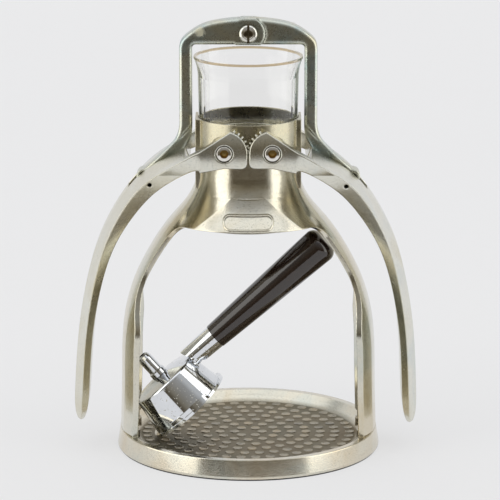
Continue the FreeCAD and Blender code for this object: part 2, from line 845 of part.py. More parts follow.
def make_brew_head():
    body = new_body("brew_head")
    revolve(body, "head_turned", [
        ("screen_screw_radius", "sleeve_bottom"),
        ("head_plate_radius", "sleeve_bottom"),
        ("head_plate_radius", "head_shoulder + 1"),
        ("head_radius", "head_shoulder - 1"),
        ("head_radius", "head_bottom"),
        ("head_ring_bore", "head_bottom"),
        ("head_ring_bore", "head_shoulder"),
        ("screen_screw_radius", "head_shoulder")])
    claw = outline(body, "claw_outline", "XY_Plane", [
        ("claw_reach * cos(claw_angle / 2)", "-claw_reach * sin(claw_angle / 2)"),
        ("(head_ring_bore + 1) * cos(claw_angle / 2)", "-(head_ring_bore + 1) * sin(claw_angle / 2)"),
        ("(head_ring_bore + 1) * cos(claw_angle / 2)", "(head_ring_bore + 1) * sin(claw_angle / 2)"),
        ("claw_reach * cos(claw_angle / 2)", "claw_reach * sin(claw_angle / 2)")],
        "head_bottom")
    first = pad(body, "claw", claw, "claw_height")
    polar(body, "claws", [first], "2")
    doc.recompute()
    water = ring_sketch(body, "water_circle", "XY_Plane",
                        [("water_hole_circle", "0", "water_hole_radius")], "head_shoulder - 1")
    hole = pocket(body, "water_hole", water, "sleeve_bottom - head_shoulder + 2")
    polar(body, "water_holes", [hole], "water_hole_count")
    doc.recompute()
    shank = ring_sketch(body, "shank_circle", "XY_Plane",
                        [("0", "head_screw_circle", "head_screw_radius + 0.1")], "head_bottom - 1")
    shank_hole = pocket(body, "shank_hole", shank, "sleeve_bottom - head_bottom + 2")
    recess = ring_sketch(body, "recess_circle", "XY_Plane",
                         [("0", "head_screw_circle", "head_screw_head + 0.15")], "head_bottom - 1")
    recess_hole = pocket(body, "recess_hole", recess, "head_screw_head_height + 1.4")
    polar(body, "screw_holes", [shank_hole, recess_hole], "head_screw_count")
    return body


def make_gasket():
    body = new_body("group_gasket")
    revolve(body, "gasket_turned", [
        ("gasket_bore", "head_shoulder - gasket_height"),
        ("gasket_radius", "head_shoulder - gasket_height"),
        ("gasket_radius", "head_shoulder"),
        ("gasket_bore", "head_shoulder")])
    return body


def make_screen():
    """Shower screen: a thin dished disc with rings of holes."""
    body = new_body("shower_screen")
    revolve(body, "screen_turned", [
        ("screen_screw_radius + 0.1", "head_shoulder - screen_gap - screen_height"),
        ("screen_radius", "head_shoulder - screen_gap - screen_height"),
        ("screen_radius", "head_shoulder"),
        ("screen_radius - screen_height", "head_shoulder"),
        ("screen_radius - screen_height", "head_shoulder - screen_gap"),
        ("screen_screw_radius + 0.1", "head_shoulder - screen_gap")])
    for ring in (1, 2, 3):
        circle = "screen_radius * %d / 4" % ring
        dot = ring_sketch(body, "dot_circle_%d" % ring, "XY_Plane",
                          [(circle, "0", "screen_hole_radius")],
                          "head_shoulder - screen_gap - screen_height - 1")
        hole = pocket(body, "dot_%d" % ring, dot, "screen_height + 2")
        polar(body, "dots_%d" % ring, [hole], str(6 * ring))
        doc.recompute()
    return body


def shower_screw():
    seat = size("head_shoulder - screen_gap - screen_height")
    screw = pan_screw(size("screen_screw_radius"), size("screen_height + screen_gap + 3"),
                      size("screen_screw_head"), 1.8)
    return placed(screw, (0, 0, seat))


# Clear cup and piston


def cup_shell():
    """Cup with a flared rim and an opening in its floor for the tube, turned about Z."""
    wall, mouth = size("cup_wall"), size("tube_radius - tube_wall")
    radius, upper, rim = size("cup_radius"), size("cup_upper_radius"), size("cup_rim_radius")
    floor, floor_wall = size("cup_floor"), size("cup_floor_wall")
    top, flare = size("cup_top"), size("cup_flare_start")
    bend = size("cup_round")

    def ring(radius_now, height):
        return Vector(radius_now, 0, height)

    inner_bend = bend - floor_wall / 2
    corner = 1 - math.sqrt(0.5)
    edges = [
        line(ring(mouth, floor - floor_wall), ring(radius - bend, floor - floor_wall)),
        Part.Arc(ring(radius - bend, floor - floor_wall),
                 ring(radius - bend * corner, floor - floor_wall + bend * corner),
                 ring(radius, floor - floor_wall + bend)).toShape(),
        line(ring(radius, floor - floor_wall + bend), ring(upper, flare)),
        curve_through([ring(upper, flare), ring((upper * 3 + rim) / 4, (flare + top) / 2 - 0.4),
                       ring(rim, top - 1)],
                      Vector(upper - radius, 0, flare - floor), Vector(1, 0, 2)),
        line(ring(rim, top - 1), ring(rim - 0.3, top)),
        line(ring(rim - 0.3, top), ring(rim - wall * 0.75, top)),
        line(ring(rim - wall * 0.75, top), ring(upper - wall, flare)),
        line(ring(upper - wall, flare), ring(radius - wall, floor + inner_bend)),
        Part.Arc(ring(radius - wall, floor + inner_bend),
                 ring(radius - wall - inner_bend * corner, floor + inner_bend * corner),
                 ring(radius - wall - inner_bend, floor)).toShape(),
        line(ring(radius - wall - inner_bend, floor), ring(mouth, floor)),
        line(ring(mouth, floor), ring(mouth, floor - floor_wall)),
    ]
    return Part.Face(Part.Wire(edges)).revolve(Vector(0, 0, 0), Vector(0, 0, 1), 360)


def cup_bridge():
    """Clear frame that stands in the cup behind the links and takes the top screw."""
    near = size("link_half_depth + lap_gap")
    far = near + size("bridge_depth")
    half, leg = size("bridge_half_width"), size("bridge_leg_width")
    foot, top, beam = size("bridge_foot"), size("bridge_top"), size("bridge_beam")
    frame = flat_polygon([
        (-half, foot), (-half + leg, foot), (-half + leg, top - beam), (half - leg, top - beam),
        (half - leg, foot), (half, foot), (half, top), (-half, top)])
    return across_depth(frame, near, far)


def water_cup():
    near = size("link_half_depth + lap_gap")
    hole = cylinder(size("top_nut_radius"), size("bridge_depth") + 2,
                    Vector(0, near - 1, size("top_screw_height")), Vector(0, 1, 0))
    return cup_shell().fuse(cup_bridge()).cut(hole).removeSplitter()


def make_piston_tube():
    """Clear tube bonded under the cup's floor, which carries the piston."""
    body = new_body("piston_tube")
    revolve(body, "tube_turned", [
        ("tube_radius - tube_wall", "tube_bottom"),
        ("tube_radius", "tube_bottom"),
        ("tube_radius", "cup_floor - cup_floor_wall"),
        ("tube_radius - tube_wall", "cup_floor - cup_floor_wall")])
    return body


def make_piston_head():
    body = new_body("piston_head")
    revolve(body, "piston_turned", [
        ("valve_stem_radius", "piston_bottom"),
        ("piston_radius", "piston_bottom"),
        ("piston_radius", "piston_bottom + seal_lift"),
        ("piston_radius - seal_depth", "piston_bottom + seal_lift"),
        ("piston_radius - seal_depth", "piston_bottom + seal_lift + seal_height"),
        ("piston_radius", "piston_bottom + seal_lift + seal_height"),
        ("piston_radius", "tube_bottom"),
        ("tube_radius - tube_wall", "tube_bottom"),
        ("tube_radius - tube_wall", "tube_bottom + piston_spigot"),
        ("tube_radius - tube_wall * 2", "tube_bottom + piston_spigot"),
        ("tube_radius - tube_wall * 2", "piston_bottom + piston_web"),
        ("valve_stem_radius", "piston_bottom + piston_web")])
    port = ring_sketch(body, "port_circle", "XY_Plane",
                       [("valve_port_circle", "0", "valve_port_radius")], "piston_bottom - 1")
    hole = pocket(body, "port", port, "piston_web + 2")
    polar(body, "ports", [hole], "valve_port_count")
    return body


def make_piston_seal():
    body = new_body("piston_seal")
    revolve(body, "seal_turned", [
        ("piston_radius - seal_depth", "piston_bottom + seal_lift"),
        ("bore_radius - seal_clearance - 0.6", "piston_bottom + seal_lift"),
        ("bore_radius - seal_clearance", "piston_bottom + seal_lift + 0.9"),
        ("bore_radius - seal_clearance", "piston_bottom + seal_lift + seal_height - 0.9"),
        ("bore_radius - seal_clearance - 0.6", "piston_bottom + seal_lift + seal_height"),
        ("piston_radius - seal_depth", "piston_bottom + seal_lift + seal_height")])
    return body


def make_valve():
    """Rubber umbrella valve whose stem plugs into the piston head."""
    body = new_body("one_way_valve")
    revolve(body, "valve_turned", [
        ("0", "piston_bottom - valve_thickness"),
        ("valve_radius * 0.6", "piston_bottom - valve_thickness"),
        ("valve_radius", "piston_bottom - valve_thickness * 0.4"),
        ("valve_radius", "piston_bottom"),
        ("valve_stem_radius", "piston_bottom"),
        ("valve_stem_radius", "piston_bottom + piston_web"),
        ("valve_stem_radius * 1.6", "piston_bottom + piston_web"),
        ("valve_stem_radius * 0.6", "piston_bottom + piston_web + 3"),
        ("0", "piston_bottom + piston_web + 3")])
    return body


def top_screw():
    """Slotted screw through both links into the nut in the cup's bridge."""
    front = -size("link_half_depth")
    height = size("top_screw_height")
    head_height = size("top_screw_head_height")
    head = cylinder(size("top_screw_head"), head_height, Vector(0, front - head_height, height),
                    Vector(0, 1, 0))
    head = head.makeFillet(1.2, [edge for edge in head.Edges
                                 if edge.CenterOfMass.y < front - head_height + 0.01
                                 and edge.Length > 10])
    reach = size("link_half_depth * 2 + lap_gap + bridge_depth")
    shank = cylinder(size("top_screw_radius"), reach, Vector(0, front, height), Vector(0, 1, 0))
    slot = size("top_screw_slot") / 2
    cut = block((-slot, front - head_height - 1, height - 10), (slot, front - 1, height + 10))
    dish = cylinder(3.6, 0.7, Vector(0, front - head_height - 0.1, height), Vector(0, 1, 0))
    return head.fuse(shank).cut(cut).cut(dish).removeSplitter()


def top_nut():
    """Flanged sleeve nut pressed into the bridge from behind."""
    near = size("link_half_depth + lap_gap")
    far = near + size("bridge_depth")
    height = size("top_screw_height")
    nut = cylinder(size("top_nut_radius"), far - near, Vector(0, near, height), Vector(0, 1, 0))
    flange = cylinder(size("top_nut_radius") + 1.4, 1.6, Vector(0, far, height), Vector(0, 1, 0))
    bore = cylinder(size("top_screw_radius"), far - near + 0.6, Vector(0, near - 0.1, height),
                    Vector(0, 1, 0))
    return nut.fuse(flange).cut(bore).removeSplitter()


# Links of the arch, drawn on the right and mirrored for the left


# Curve of the link's foot: how far its points stand out from the bar and lie below its end
FOOT_OUTER = ((0.0, 0.0), (0.7, 6.5), (3.1, 12.6), (8.0, 18.0), (15.3, 24.6))
FOOT_INNER = ((12.4, 25.5), (4.6, 17.0), (1.1, 10.4), (0.0, 2.0))
LEAF_CORNERS = ((-3.0, -1.5), (0.6, 2.6), (7.6, 10.2), (13.4, 16.9), (22.2, 26.4), (40.2, 44.0),
                (18.2, 60.0), (-8.0, 30.0))


def link_outline():
    """Half arch, straight bar and flared tail, on the XZ plane."""
    inner, outer = size("link_inner"), size("link_outer")
    under, corner = size("arch_underside"), size("link_inner_corner")
    straight_end = size("link_straight_end")
    pin_x, pin_z = size("arm_pin_x"), size("arm_pin_z")
    tail = size("tail_radius")
    far_x = pin_x + size("pin_play")

    def at(x, z):
        return Vector(x, 0, z)

    upper_tail = at(far_x, pin_z + tail)
    tip = at(far_x + tail, pin_z)
    lower_tail = at(far_x, pin_z - tail)
    crown = curve_through(
        [at(0, size("arch_peak")), at(size("arch_crown_mid_x"), size("arch_crown_mid_z")),
         at(size("arch_shoulder_x"), size("arch_shoulder_z")),
         at(size("arch_corner_x"), size("arch_corner_z")), at(outer, size("arch_side_z"))],
        at(1, 0), at(0, -1))
    outer_flare = curve_through(
        [at(outer + out, straight_end - down) for out, down in FOOT_OUTER] + [upper_tail],
        at(0, -1), at(1, -0.9))
    near_tail = at(pin_x - tail, pin_z)
    under_tail = at(pin_x, pin_z - tail)
    inner_flare = curve_through(
        [near_tail] + [at(inner + out, straight_end - down) for out, down in FOOT_INNER],
        at(-0.7, 1), at(0, 1))
    bend = 1 - math.sqrt(0.5)
    edges = [
        crown,
        line(at(outer, size("arch_side_z")), at(outer, straight_end)),
        outer_flare,
        Part.Arc(upper_tail, tip, lower_tail).toShape(),
        line(lower_tail, under_tail),
        Part.Arc(under_tail, at(pin_x - tail * math.sqrt(0.5), pin_z - tail * math.sqrt(0.5)),
                 near_tail).toShape(),
        inner_flare,
        line(at(inner, straight_end - FOOT_INNER[-1][1]), at(inner, under - corner)),
        Part.Arc(at(inner, under - corner), at(inner - corner * bend, under - corner * bend),
                 at(inner - corner, under)).toShape(),
        line(at(inner - corner, under), at(0, under)),
        line(at(0, under), at(0, size("arch_peak"))),
    ]
    return Part.Wire(edges)


def leaf_pocket():
    """Flats that thin the foot of the link to a tongue, seen as a leaf on its front."""
    inner, end = size("link_inner"), size("link_straight_end")
    half, tongue = size("link_half_depth"), size("tongue_half_depth")
    leaf = flat_polygon([(inner + out, end - down) for out, down in LEAF_CORNERS])
    front = across_depth(leaf, -half - 1, -tongue)
    rear = across_depth(leaf, tongue, half + 1)
    return front.fuse(rear)


def pin_window(lash):
    """Slot round the arm's pin, long enough for the pin's path over the whole lift."""
    radius = size("arm_pin_radius + pin_slack")
    near = lifted(Vector(size("arm_pin_x"), 0, size("arm_pin_z")), lash)
    far = near + Vector(size("pin_play"), 0, 0)
    side, along = Vector(0, 0, radius), Vector(radius, 0, 0)
    edges = [line(near + side, far + side), Part.Arc(far + side, far + along, far - side).toShape(),
             line(far - side, near - side), Part.Arc(near - side, near - along, near + side).toShape()]
    return across_depth(Part.Wire(edges), -size("link_outer"), size("link_outer"))


def lifted(point, degrees):
    """Where a point of the right arm goes when the arm is lifted."""
    pivot = Vector(size("pivot_offset"), 0, size("pivot_height"))
    return pivot + Rotation(Vector(0, -1, 0), degrees).multVec(point - pivot)


def link_solid(lash):
    """Link of the right arm, with its slot where the arm's pin lies at a given lift."""
    half = size("link_half_depth")
    bar = across_depth(link_outline(), -half, half)
    inner, outer = size("link_inner"), size("link_outer")

    def rounded(edge):
        middle = edge.CenterOfMass
        on_face = abs(abs(middle.y) - half) < 0.01
        return on_face and edge.Length > 12 and middle.z > size("link_straight_end - 32") \
            and abs(edge.BoundBox.ZLength) + abs(edge.BoundBox.XLength) > 12 \
            and middle.x > 1

    bar = fillet_edges(bar, size("link_edge_round"), rounded)
    bar = bar.cut(leaf_pocket())
    return bar.cut(pin_window(lash))


def half_lap(link, own_layer):
    """Join the links at the top screw: each keeps one layer of the knuckle."""
    half, height = size("link_half_depth"), size("top_screw_height")
    gap = size("lap_gap") / 2
    knuckle, play = size("knuckle_radius"), size("lap_gap")
    near, far = (-half, -gap) if own_layer < 0 else (gap, half)
    other_near, other_far = (-gap, half + 1) if own_layer < 0 else (-half - 1, gap)
    space = cylinder(knuckle + play, other_far - other_near, Vector(0, other_near, height),
                     Vector(0, 1, 0))
    knob = cylinder(knuckle, far - near, Vector(0, near, height), Vector(0, 1, 0))
    band = link_band().common(knob)
    shank = cylinder(size("top_screw_radius + pin_clearance"), half * 4,
                     Vector(0, -half * 2, height), Vector(0, 1, 0))
    return link.cut(space).fuse(band).cut(shank).removeSplitter()


def link_band():
    """The whole arch on both sides of the screw, square-edged."""
    half = size("link_half_depth")
    right = across_depth(link_outline(), -half, half)
    top = block((-20, -half - 1, size("arch_underside") - 1), (20, half + 1, size("arch_peak") + 1))
    return right.common(top).fuse(mirror_side(right).common(top)).removeSplitter()


# Lever arms, drawn on the right and mirrored for the left


def section_wire(name, tangent):
    """Six-sided section of the arm square to its path."""
    x, z = size(name + "_ridge_x"), size(name + "_ridge_z")
    crown, sole = size(name + "_crown"), size(name + "_sole")
    half, undercut = size(name + "_half"), size(name + "_undercut")
    flat = min(size("crown_half_width"), half * 0.6)
    outward = Vector(-tangent.z, 0, tangent.x)
    ridge = Vector(x, 0, z)
    top, bottom = ridge + outward * crown, ridge - outward * sole
    depth = Vector(0, 1, 0)
    corners = [top - depth * flat, ridge - depth * half, bottom - depth * (half - undercut),
               bottom + depth * (half - undercut), ridge + depth * half, top + depth * flat]
    return Part.makePolygon(corners + corners[:1])


def arm_blade():
    """Bent blade from the fork to the tip, lofted through the sections."""
    names = list(ARM_SECTIONS)
    ridge = [Vector(size(name + "_ridge_x"), 0, size(name + "_ridge_z")) for name in names]
    wires = []
    for index, name in enumerate(names):
        before, after = ridge[max(index - 1, 0)], ridge[min(index + 1, len(names) - 1)]
        tangent = (after - before).normalize()
        if index == 0:
            tangent = Vector(1, 0, 0)
        wires.append(section_wire(name, tangent))
    return Part.makeLoft(wires, True, False)


def fork_plate(near, far, radius):
    """Flat cheek at the pivot, from Y near to Y far, rounded to a radius about the pivot."""
    pivot_x, pivot_z = size("pivot_offset"), size("pivot_height")
    corner = size("plate_corner")
    end_x, top_z = size("shoulder_ridge_x"), size("shoulder_ridge_z")
    sole_z = top_z - size("shoulder_sole")
    bottom_z = size("plate_bottom")
    inner_x = pivot_x - radius

    def at(x, z):
        return Vector(x, 0, z)

    turn = math.radians(104)
    peak = at(pivot_x + radius * math.cos(turn), pivot_z + radius * math.sin(turn))
    middle = math.radians(142)
    bow = at(pivot_x + radius * math.cos(middle), pivot_z + radius * math.sin(middle))
    bend = 1 - math.sqrt(0.5)
    edges = [
        line(at(end_x, sole_z), at(end_x, top_z)),
        line(at(end_x, top_z), peak),
        Part.Arc(peak, bow, at(inner_x, pivot_z)).toShape(),
        line(at(inner_x, pivot_z), at(inner_x, bottom_z + corner)),
        Part.Arc(at(inner_x, bottom_z + corner),
                 at(inner_x + corner * bend, bottom_z + corner * bend),
                 at(inner_x + corner, bottom_z)).toShape(),
        line(at(inner_x + corner, bottom_z), at(pivot_x, bottom_z)),
        line(at(pivot_x, bottom_z), at(end_x, sole_z)),
    ]
    return across_depth(Part.Wire(edges), near, far)


def gear_sector(phase, near, far):
    """Toothed sector about the pivot that meshes with the other arm's."""
    teeth = int(size("gear_teeth"))
    pitch_radius = size("pivot_offset")
    step = 2 * math.pi / teeth
    root, crest = pitch_radius - size("tooth_root"), pitch_radius + size("tooth_rise")
    share = size("tooth_share")
    half_root, half_crest = step * (share + 0.16) / 2, step * (share - 0.2) / 2
    pivot = Vector(pitch_radius, 0, size("pivot_height"))

    def polar_point(radius, angle):
        return pivot + Vector(radius * math.cos(angle), 0, radius * math.sin(angle))

    first, last = math.radians(100), math.radians(204)
    points = [polar_point(root * 0.6, last), polar_point(root * 0.6, first)]
    index = math.ceil((first - math.pi) / step - phase) + 1
    while math.pi + (index + phase) * step < last:
        middle = math.pi + (index + phase) * step
        points += [polar_point(root, middle - half_root), polar_point(crest, middle - half_crest),
                   polar_point(crest, middle + half_crest), polar_point(root, middle + half_root)]
        index += 1
    wire = Part.makePolygon(points + points[:1])
    return across_depth(wire, near, far)


def arm_slot():
    """Slot through the middle of the arm for the link's foot."""
    half = size("slot_half_width")
    return block((0, -half, size("arm_pin_z - slot_drop")), (size("slot_end"), half, size("arch_peak")))


def arm_solid(phase):
    inner_face = size("pivot_boss_face + arm_gap")
    gear_face = size("arm_face - gear_set_back")
    outer_face = size("arm_face")
    yoke = cylinder(size("yoke_clearance_radius"), inner_face * 2,
                    Vector(size("pivot_offset"), -inner_face, size("pivot_height")), Vector(0, 1, 0))
    arm = arm_blade().cut(yoke)
    for side in (-1, 1):
        near, far = sorted((side * gear_face, side * outer_face))
        arm = arm.fuse(fork_plate(near, far, size("plate_radius")))
        near, far = sorted((side * inner_face, side * gear_face))
        arm = arm.fuse(fork_plate(near, far, size("pivot_offset - tooth_root")))
        arm = arm.fuse(gear_sector(phase, near, far))
    arm = arm.cut(arm_slot())
    return arm.cut(arm_bores()).removeSplitter()


def arm_bores():
    """Counterbores for the bolt heads, bores for the bushes and the link's pin bore."""
    inner_face, outer_face = size("pivot_boss_face + arm_gap"), size("arm_face")
    floor = size("arm_face - bolt_sunk - bolt_head_height - 0.2")
    bores = None
    for side in (-1, 1):
        start = Vector(size("pivot_offset"), side * (inner_face - 1), size("pivot_height"))
        outward = Vector(0, side, 0)
        bush = cylinder(size("bolt_shoulder + bush_clearance + bush_wall"),
                        outer_face - inner_face + 2, start, outward)
        head_start = Vector(size("pivot_offset"), side * floor, size("pivot_height"))
        recess = cylinder(size("bolt_recess_radius"), outer_face - floor + 1, head_start, outward)
        both = bush.fuse(recess)
        bores = both if bores is None else bores.fuse(both)
    pin = cylinder(size("arm_pin_radius"), size("arm_face * 2"),
                   Vector(size("arm_pin_x"), -size("arm_face"), size("arm_pin_z")), Vector(0, 1, 0))
    return bores.fuse(pin)


def arm_bushes():
    inner_face = size("pivot_boss_face + arm_gap")
    floor = size("arm_face - bolt_sunk - bolt_head_height - 0.2")
    bushes = []
    for side in (-1, 1):
        start = Vector(size("pivot_offset"), side * inner_face, size("pivot_height"))
        outward = Vector(0, side, 0)
        outer = cylinder(size("bolt_shoulder + bush_clearance + bush_wall"), floor - inner_face,
                         start, outward)
        inner = cylinder(size("bolt_shoulder + bush_clearance"), floor - inner_face, start, outward)
        bushes.append(outer.cut(inner))
    return Part.Compound(bushes)


def link_pin():
    half = size("arm_pin_half_length")
    return cylinder(size("arm_pin_radius"), half * 2,
                    Vector(size("arm_pin_x"), -half, size("arm_pin_z")), Vector(0, 1, 0))


# Filter holder, built in its own frame and laid in place


def resting_place():
    """Placement of the filter holder as it lies in the frame: mouth down to the right."""
    turn = Rotation(Vector(0, 1, 0), -size("holder_tilt"))
    return Placement(Vector(size("holder_x"), size("holder_y"), size("holder_z")), turn)


def lay_down(item):
    item.Placement = resting_place()
    return item


def ring_part(inner, outer, low, high, middle, spread):
    """Part of a ring between two radii, centred on an angle in degrees."""
    ring = cylinder(outer, high - low, Vector(0, 0, low)).cut(
        cylinder(inner, high - low, Vector(0, 0, low)))
    turn_from, turn_to = math.radians(middle - spread / 2), math.radians(middle + spread / 2)
    reach = outer * 2
    corners = [Vector(0, 0, low), Vector(reach * math.cos(turn_from), reach * math.sin(turn_from), low),
               Vector(reach * math.cos(turn_to), reach * math.sin(turn_to), low)]
    wedge = Part.Face(Part.makePolygon(corners + corners[:1])).extrude(Vector(0, 0, high - low))
    return ring.common(wedge)


def holder_body():
    radius, height, dome = size("holder_radius"), size("holder_height"), size("holder_dome")
    flange, flange_height = size("flange_radius"), size("flange_height")
    foot, wall, bowl = size("holder_foot"), size("holder_wall"), size("holder_bowl")

    def ring(radius_now, level):
        return Vector(radius_now, 0, level)

    shoulder = radius - 2.4
    edges = [
        line(ring(bowl, 0), ring(flange, 0)),
        line(ring(flange, 0), ring(flange, flange_height)),
        line(ring(flange, flange_height), ring(foot, flange_height)),
        line(ring(foot, flange_height), ring(radius, height - 2.4)),
        Part.Arc(ring(radius, height - 2.4), ring(radius - 0.7, height - 0.7),
                 ring(shoulder, height)).toShape(),
        Part.Arc(ring(shoulder, height), ring(shoulder * 0.52, height + dome * 0.72),
                 ring(0, height + dome)).toShape(),
        line(ring(0, height + dome), ring(0, height - wall)),
        line(ring(0, height - wall), ring(bowl - 2, height - wall)),
        line(ring(bowl - 2, height - wall), ring(bowl, height - wall - 2)),
        line(ring(bowl, height - wall - 2), ring(bowl, 0)),
    ]
    body = Part.Face(Part.Wire(edges)).revolve(Vector(0, 0, 0), Vector(0, 0, 1), 360)
    for middle in (-90, 90):
        lug = ring_part(radius - 0.5, size("lug_reach"), flange_height, size("lug_height"),
                        middle, size("lug_angle"))
        body = body.fuse(lug)
    for middle in (size("notch_angle"), size("notch_angle") - 180):
        notch = ring_part(flange - size("notch_depth"), flange + 1, -1, size("lug_height") + 1,
                          middle, size("claw_angle") + 4)
        body = body.cut(notch)
    level = size("handle_level")
    neck_start = radius - 6
    neck = cylinder(size("handle_neck_radius"),
                    size("ferrule_end - handle_neck_short") - neck_start,
                    Vector(neck_start, 0, level - 4), Vector(1, 0, 0.25))
    body = body.fuse(neck.cut(cylinder(bowl, height - wall, Vector(0, 0, 0))))
    spout_hole = cylinder(size("nozzle_bore"), dome + wall + 4, Vector(0, 0, height - wall - 2))
    return body.cut(spout_hole).cut(ferrule_cone()).removeSplitter()


def ferrule_cone():
    """Chrome cone that joins the neck of the holder to the grip, cut off at a slant."""
    start, end, level = size("ferrule_start"), size("ferrule_end"), size("handle_level")
    cone = Part.makeCone(size("ferrule_small"), size("ferrule_large"), end - start,
                         Vector(start, 0, level), Vector(1, 0, 0))
    reach, low, high = size("ferrule_large * 1.5"), size("ferrule_slant"), size("ferrule_slant_top")
    slant = flat_polygon([(start - reach, level - reach), (start + low, level - reach),
                          (start + high, level + reach), (start - reach, level + reach)])
    return cone.cut(across_depth(slant, -reach, reach))


def handle_ferrule():
    start, level = size("ferrule_start"), size("handle_level")
    bore = cylinder(size("rod_radius"), size("ferrule_end") - start + 2, Vector(start - 1, 0, level),
                    Vector(1, 0, 0))
    return ferrule_cone().cut(bore)


def oval(width, depth, x):
    """Rounded section of the grip, deeper along Y than it is wide."""
    level = size("handle_level")
    curve = Part.Ellipse(Vector(x, depth / 2, level), Vector(x, 0, level + width / 2),
                         Vector(x, 0, level))
    return Part.Wire([curve.toShape()])


def handle_grip():
    start, end = size("ferrule_end"), size("grip_end")
    stations = [
        (start, size("grip_start_width"), size("grip_start_depth")),
        ((start + end) / 2, size("grip_mid_width"), size("grip_mid_depth")),
        (end, size("grip_end_width"), size("grip_end_depth")),
    ]
    grip = Part.makeLoft([oval(width, depth, x) for x, width, depth in stations], True, False)
    grip = fillet_edges(grip, size("grip_end_round"), lambda edge: edge.CenterOfMass.x > end - 1)
    bore = cylinder(size("rod_radius"), size("rod_reach"),
                    Vector(start - 1, 0, size("handle_level")), Vector(1, 0, 0))
    return grip.cut(bore)


def handle_rod():
    """Threaded rod that holds ferrule and grip on the holder's neck."""
    start = size("ferrule_end - rod_in_ferrule")
    length = size("rod_in_ferrule + rod_reach") - 2
    return cylinder(size("rod_radius"), length, Vector(start, 0, size("handle_level")),
                    Vector(1, 0, 0))


def make_nozzle():
    body = new_body("spout_nozzle")
    revolve(body, "nozzle_turned", [
        ("nozzle_bore", "holder_height + holder_dome"),
        ("nozzle_collar", "holder_height + holder_dome"),
        ("nozzle_collar", "holder_height + holder_dome + 3.2"),
        ("nozzle_radius", "holder_height + holder_dome + 4"),
        ("nozzle_radius", "holder_height + holder_dome + nozzle_length - 3"),
        ("nozzle_radius * 0.82", "holder_height + holder_dome + nozzle_length - 0.9"),
        ("nozzle_radius * 0.56", "holder_height + holder_dome + nozzle_length"),
        ("nozzle_bore", "holder_height + holder_dome + nozzle_length")])
    return body


def make_basket():
    body = new_body("filter_basket")
    revolve(body, "basket_turned", [
        ("basket_radius", "0"),
        ("basket_radius", "basket_depth"),
        ("0", "basket_depth"),
        ("0", "basket_depth - basket_wall"),
        ("basket_radius - basket_wall", "basket_depth - basket_wall"),
        ("basket_radius - basket_wall", "-basket_wall"),
        ("basket_flange", "-basket_wall"),
        ("basket_flange", "0")])
    for ring in (1, 2, 3):
        circle = "basket_radius * %d / 4" % ring
        dot = ring_sketch(body, "basket_circle_%d" % ring, "XY_Plane",
                          [(circle, "0", "basket_hole_radius")], "basket_depth - basket_wall - 1")
        hole = pocket(body, "basket_dot_%d" % ring, dot, "basket_wall + 2")
        polar(body, "basket_dots_%d" % ring, [hole], str(6 * ring))
        doc.recompute()
    return body


def basket_spring():
    """Open wire ring between the basket and the bowl."""
    wire = size("basket_clearance / 2 - spring_play")
    middle = size("basket_radius + basket_clearance / 2")
    return Part.makeTorus(middle, wire, Vector(0, 0, size("spring_depth")), Vector(0, 0, 1),
                          0, 360, size("spring_turn"))


# Build every sub-part


def left_side(shape):
    """Left arm's copy of a right arm's piece, lifted by the play between the gears."""
    pivot = Vector(size("pivot_offset"), 0, size("pivot_height"))
    raised = shape.copy()
    raised.rotate(pivot, Vector(0, -1, 0), size("gear_lash"))
    return mirror_side(raised)


def build():
    parts = [
        free_shape("body_casting", body_casting()),
        free_shape("badge_plate", badge_plate()),
        make_base(),
        make_foot_ring(),
        free_shape("base_screws", base_screws()),
        free_shape("pivot_bolts", pivot_bolts()),
        make_sleeve(),
        make_brew_head(),
        free_shape("brew_head_screws", brew_head_screws()),
        make_gasket(),
        make_screen(),
        free_shape("shower_screw", shower_screw()),
        free_shape("water_cup", water_cup()),
        make_piston_tube(),
        make_piston_head(),
        make_piston_seal(),
        make_valve(),
        free_shape("top_screw", top_screw()),
        free_shape("top_nut", top_nut()),
    ]
    right_link, left_link = link_solid(0), mirror_side(link_solid(size("gear_lash")))
    parts.append(free_shape("link_left", half_lap(left_link, -1)))
    parts.append(free_shape("link_right", half_lap(right_link, 1)))
    parts.append(free_shape("lever_arm_left", left_side(arm_solid(0.5))))
    parts.append(free_shape("lever_arm_right", arm_solid(0)))
    parts.append(free_shape("arm_bushes_left", left_side(arm_bushes())))
    parts.append(free_shape("arm_bushes_right", arm_bushes()))
    parts.append(free_shape("link_pin_left", left_side(link_pin())))
    parts.append(free_shape("link_pin_right", link_pin()))
    holder = [
        free_shape("holder_body", holder_body()),
        make_nozzle(),
        free_shape("handle_ferrule", handle_ferrule()),
        free_shape("handle_grip", handle_grip()),
        free_shape("handle_rod", handle_rod()),
        make_basket(),
        free_shape("basket_spring", basket_spring()),
    ]
    parts += [lay_down(item) for item in holder]
    return parts


def check_and_write(parts):
    doc.recompute()
    for item in doc.Objects:
        if "Invalid" in item.State or "Error" in item.State:
            raise RuntimeError("%s did not build: %s" % (item.Label, item.State))
    for item in parts:
        if item.Shape.isNull() or not item.Shape.isValid():
            raise RuntimeError("%s has no valid shape" % item.Label)
    os.makedirs("parts", exist_ok=True)
    for item in parts:
        item.Shape.exportStep("parts/%s.step" % item.Label)
        print("%-18s %9.1f mm3  %d solids" % (item.Label, item.Shape.Volume, len(item.Shape.Solids)))


check_and_write(build())
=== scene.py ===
# %% [markdown]
# # A hand-lever coffee press, dressed and lit
#
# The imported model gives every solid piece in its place, in metres: the bell-shaped casting on its
# dished base, two geared arms, the arch of two links, the clear cup with its piston, and the loose
# filter holder. This lesson gives each of them a finish, adds the small forms that the solids
# leave out, and lights the whole like a plain studio picture.

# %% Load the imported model
import math

